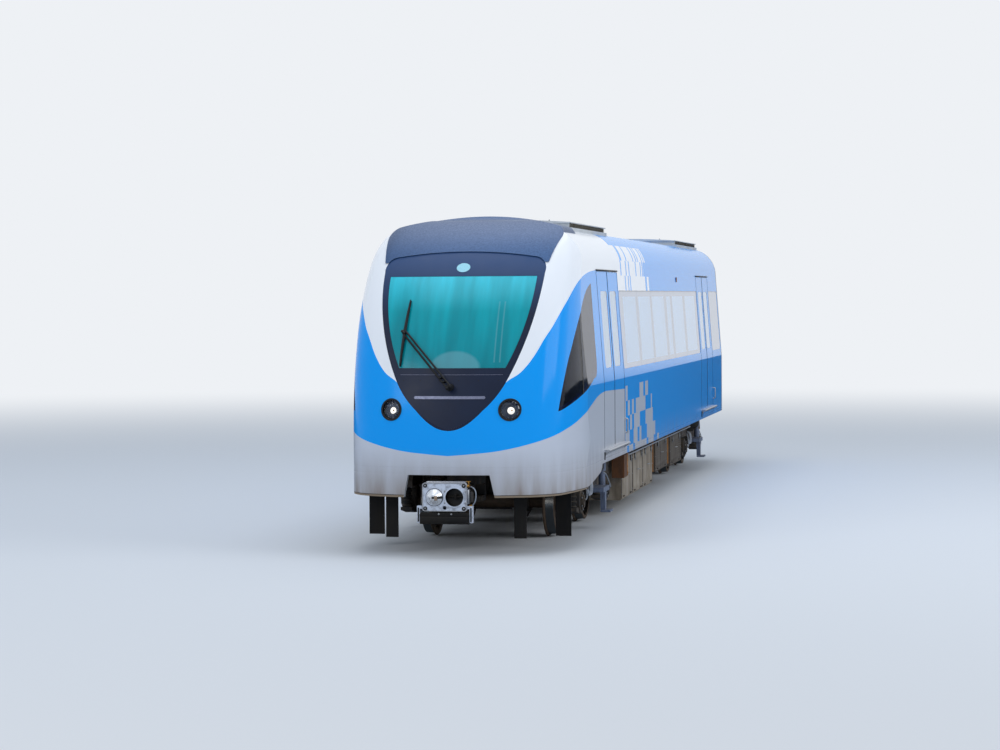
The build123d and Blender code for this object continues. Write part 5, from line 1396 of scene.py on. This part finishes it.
def makeRoofTrim(spec):
    screws, metal, strips = [], [], []
    for front, rear in spec["units"]:
        y = front + 0.10
        while y < rear - 0.05:
            spot, normal = onNode("roof_units", at(spec["screwX"], y, 5), (0, 0, -1))
            screws.append(addBolt("lidScrew", spot - normal * 0.001, normal, 0.010, 0.005))
            y += spec["screwPitch"]
        for y in (front + 0.25, rear - 0.25):
            spot = onNode("roof_units", at(spec["eyeX"], y, 5), (0, 0, -1))[0]
            eye = startPiece(bpy.ops.mesh.primitive_torus_add, "liftingEye", major_radius=0.022,
                             minor_radius=0.006, major_segments=20, minor_segments=8,
                             rotation=(0, math.pi / 2, 0), location=(0, 0, 0))
            eye.data.transform(Matrix.Translation(spot + Vector((0, 0, -0.004))))
            metal.append(eye)
            metal.append(addRod("liftingEyeFoot", spot - Vector((0, 0, 0.03)), spot + Vector((0, 0, 0.004)),
                                0.020, 16, 0.002))
    closeBoth(screws, "lidScrews", "zinc_plated_steel", "carbody")
    closeBoth(metal, "liftingEyes", "zinc_plated_steel", "carbody")

    x, half = spec["walkX"], spec["treadHalf"]
    y = spec["units"][0][1] + spec["treadGap"]
    while y < spec["units"][1][0] - spec["treadGap"]:
        top = onNode("roof_shell", at(x, y, 5), (0, 0, -1))[0].z
        strips.append(addSlab("gripTread", at(x - half, y - 0.018, top - 0.012),
                              at(x + half, y + 0.018, top + 0.007), 0.003))
        y += spec["treadPitch"]
    closeBoth(strips, "gripTreads", "roof_unit_enamel", "carbody")


makeRoofTrim(roofTrim)
print("roof trim made")

# rear end: grab rails, jumper sockets with cables, marker lamps, drip strip over the gangway
rearTrim = {
    "wall": 17.144,
    "seat": 0.004,          # how far trim is let into the wall
    "railX": 0.985,
    "railHeights": (1.25, 2.05),
    "railProud": 0.050,
    "railRadius": 0.012,
    "sockets": ((1.02, 1.16), (0.99, 2.36)),
    "lamps": ((1.06, 2.72),),
}


def makeRearTrim(spec):
    wall, back = spec["wall"], spec["wall"] - spec["seat"]
    x, out = spec["railX"], wall + spec["railProud"]
    low, high = spec["railHeights"]
    rail = route((x, back, low), (x, out, low), (x, out, low + 0.05),
                 (x, out, high - 0.05), (x, out, high), (x, back, high))
    rails = [addPipe("endRail", rail, spec["railRadius"])]
    for height in (low, high):
        rails.append(addRod("railFoot", at(x, back, height), at(x, wall + 0.006, height), 0.026, 20, 0.002))
    closeBoth(rails, "endRails", "brushed_aluminium", "carbody")

    sockets = []
    for x, z in spec["sockets"]:
        sockets.append(addSlab("jumperBox", at(x - 0.065, back, z - 0.075),
                               at(x + 0.065, wall + 0.070, z + 0.075), 0.010))
        sockets.append(addRod("jumperPort", at(x, wall + 0.060, z - 0.01), at(x, wall + 0.105, z - 0.03),
                              0.042, 24, 0.004))
        sockets.append(addSlab("jumperLid", at(x - 0.050, wall + 0.070, z + 0.025),
                               at(x + 0.050, wall + 0.082, z + 0.062), 0.004))
        cable = route((x, wall + 0.095, z - 0.025), (x, wall + 0.150, z - 0.05), (x, wall + 0.160, z - 0.16),
                      (x - 0.01, wall + 0.075, z - 0.24), (x - 0.01, back, z - 0.24))
        sockets.append(addPipe("jumperCable", cable, 0.017))
    sockets.append(addSlab("endDrip", at(0.002, back, 3.392), at(0.70, wall + 0.028, 3.404), 0.003))
    closeBoth(sockets, "jumperSockets", "black_trim_plastic", "carbody")

    lamps, rings = [], []
    for x, z in spec["lamps"]:
        lamps.append(addRod("markerLens", at(x, back, z), at(x, wall + 0.016, z), 0.034, 28, 0.006))
        rings.append(addRod("markerRing", at(x, back, z), at(x, wall + 0.008, z), 0.046, 28, 0.003))
    closeBoth(lamps, "markerLenses", "opal_marker_panel", "carbody")
    closeBoth(rings, "markerRings", "black_rubber_seal", "carbody")


makeRearTrim(rearTrim)
print("rear trim made")

# saloon and cab: lamp strips in the ceiling coves, screens and levers on the desk
inside = {
    "stripFrom": 2.95,
    "stripTo": 17.00,
    "strips": 9,
    "stripGap": 0.02,
    "stripX": (0.405, 0.535),
    "stripZ": (3.236, 3.2485),
    "screens": ((-0.30, 0.80), (0.06, 0.80), (0.36, 0.80)),
    "screenTilt": -18,      # degrees
    "levers": ((-0.48, 0.86), (0.52, 0.86)),
}


def makeInside(spec):
    strips, desk = [], []
    pitch = (spec["stripTo"] - spec["stripFrom"]) / spec["strips"]
    for index in range(spec["strips"]):
        start = spec["stripFrom"] + pitch * index
        low = at(spec["stripX"][0], start + spec["stripGap"], spec["stripZ"][0])
        high = at(spec["stripX"][1], start + pitch - spec["stripGap"], spec["stripZ"][1])
        strips.append(addSlab("ceilingLamp", low, high, 0.004))
    closeBoth(strips, "ceilingLamps", "ceiling_lamp_diffuser", "carbody")

    for x, station in spec["screens"]:
        spot = onNode("front_console", at(x, station, 3), (0, 0, -1))[0]
        screenBox = addSlab("deskScreen", (-0.13, -0.012, 0.0), (0.13, 0.012, 0.19), 0.006)
        openFaces(screenBox, lambda face: face.normal.y > 0.99 and face.area > 0.02)
        bpy.ops.mesh.inset(thickness=0.012)
        bpy.ops.mesh.extrude_region_move(TRANSFORM_OT_translate={"value": (0, -0.003, 0)})
        bpy.ops.object.mode_set(mode="OBJECT")
        tilt = Matrix.Rotation(math.radians(spec["screenTilt"]), 4, "X")
        screenBox.data.transform(Matrix.Translation(spot - Vector((0, 0, 0.008))) @ tilt)
        desk.append(screenBox)
    for x, station in spec["levers"]:
        spot = onNode("front_console", at(x, station, 3), (0, 0, -1))[0]
        desk.append(addRod("deskLever", spot - Vector((0, 0, 0.01)), spot + Vector((0, 0.02, 0.11)),
                           0.010, 12, 0.002))
        knob = addRod("deskLeverKnob", spot + Vector((0, 0.016, 0.10)), spot + Vector((0, 0.024, 0.145)),
                      0.022, 16, 0.008)
        desk.append(knob)
    closeSet(desk, "deskScreens", "black_trim_plastic", "carbody")


makeInside(inside)
print("inside made")

# hoses that run back along the coupler shank, with their clamps
couplerHoses = {
    "lines": (0.112, -0.112),
    "radius": 0.015,
    # share of the line's x, station, drop below the coupler's middle
    "run": [(1.4, -0.075, 0.06), (1.35, -0.02, 0.06), (0.78, 0.14, 0.045), (0.72, 0.40, 0.045),
            (0.72, 0.70, 0.045), (0.66, 0.80, 0.030)],
    "clamps": (0.16, 0.42, 0.68),
    "clampRadius": 0.070,
    "clampWidth": 1.6,
}


def makeCouplerHoses(spec):
    hoses, clamps = [], []
    z = car["couplerHeight"]
    for x in spec["lines"]:
        line = [at(x * share, station, z - drop) for share, station, drop in spec["run"]]
        hoses.append(addPipe("shankHose", line, spec["radius"]))
    for station in spec["clamps"]:
        middle = at(0, station, z)
        clamp = startPiece(bpy.ops.mesh.primitive_torus_add, "hoseClamp", major_radius=spec["clampRadius"],
                           minor_radius=0.008, major_segments=28, minor_segments=6, rotation=(math.pi / 2, 0, 0),
                           location=middle)
        bpy.ops.object.mode_set(mode="EDIT")
        bpy.ops.mesh.select_all(action="SELECT")
        bpy.ops.transform.resize(value=(1, spec["clampWidth"], 1), center_override=middle)
        bpy.ops.object.mode_set(mode="OBJECT")
        clamps.append(clamp)
    closeSet(hoses, "shankHoses", "black_rubber_seal", "coupler")
    closeSet(clamps, "hoseClamps", "zinc_plated_steel", "coupler")


makeCouplerHoses(couplerHoses)
print("coupler hoses made")
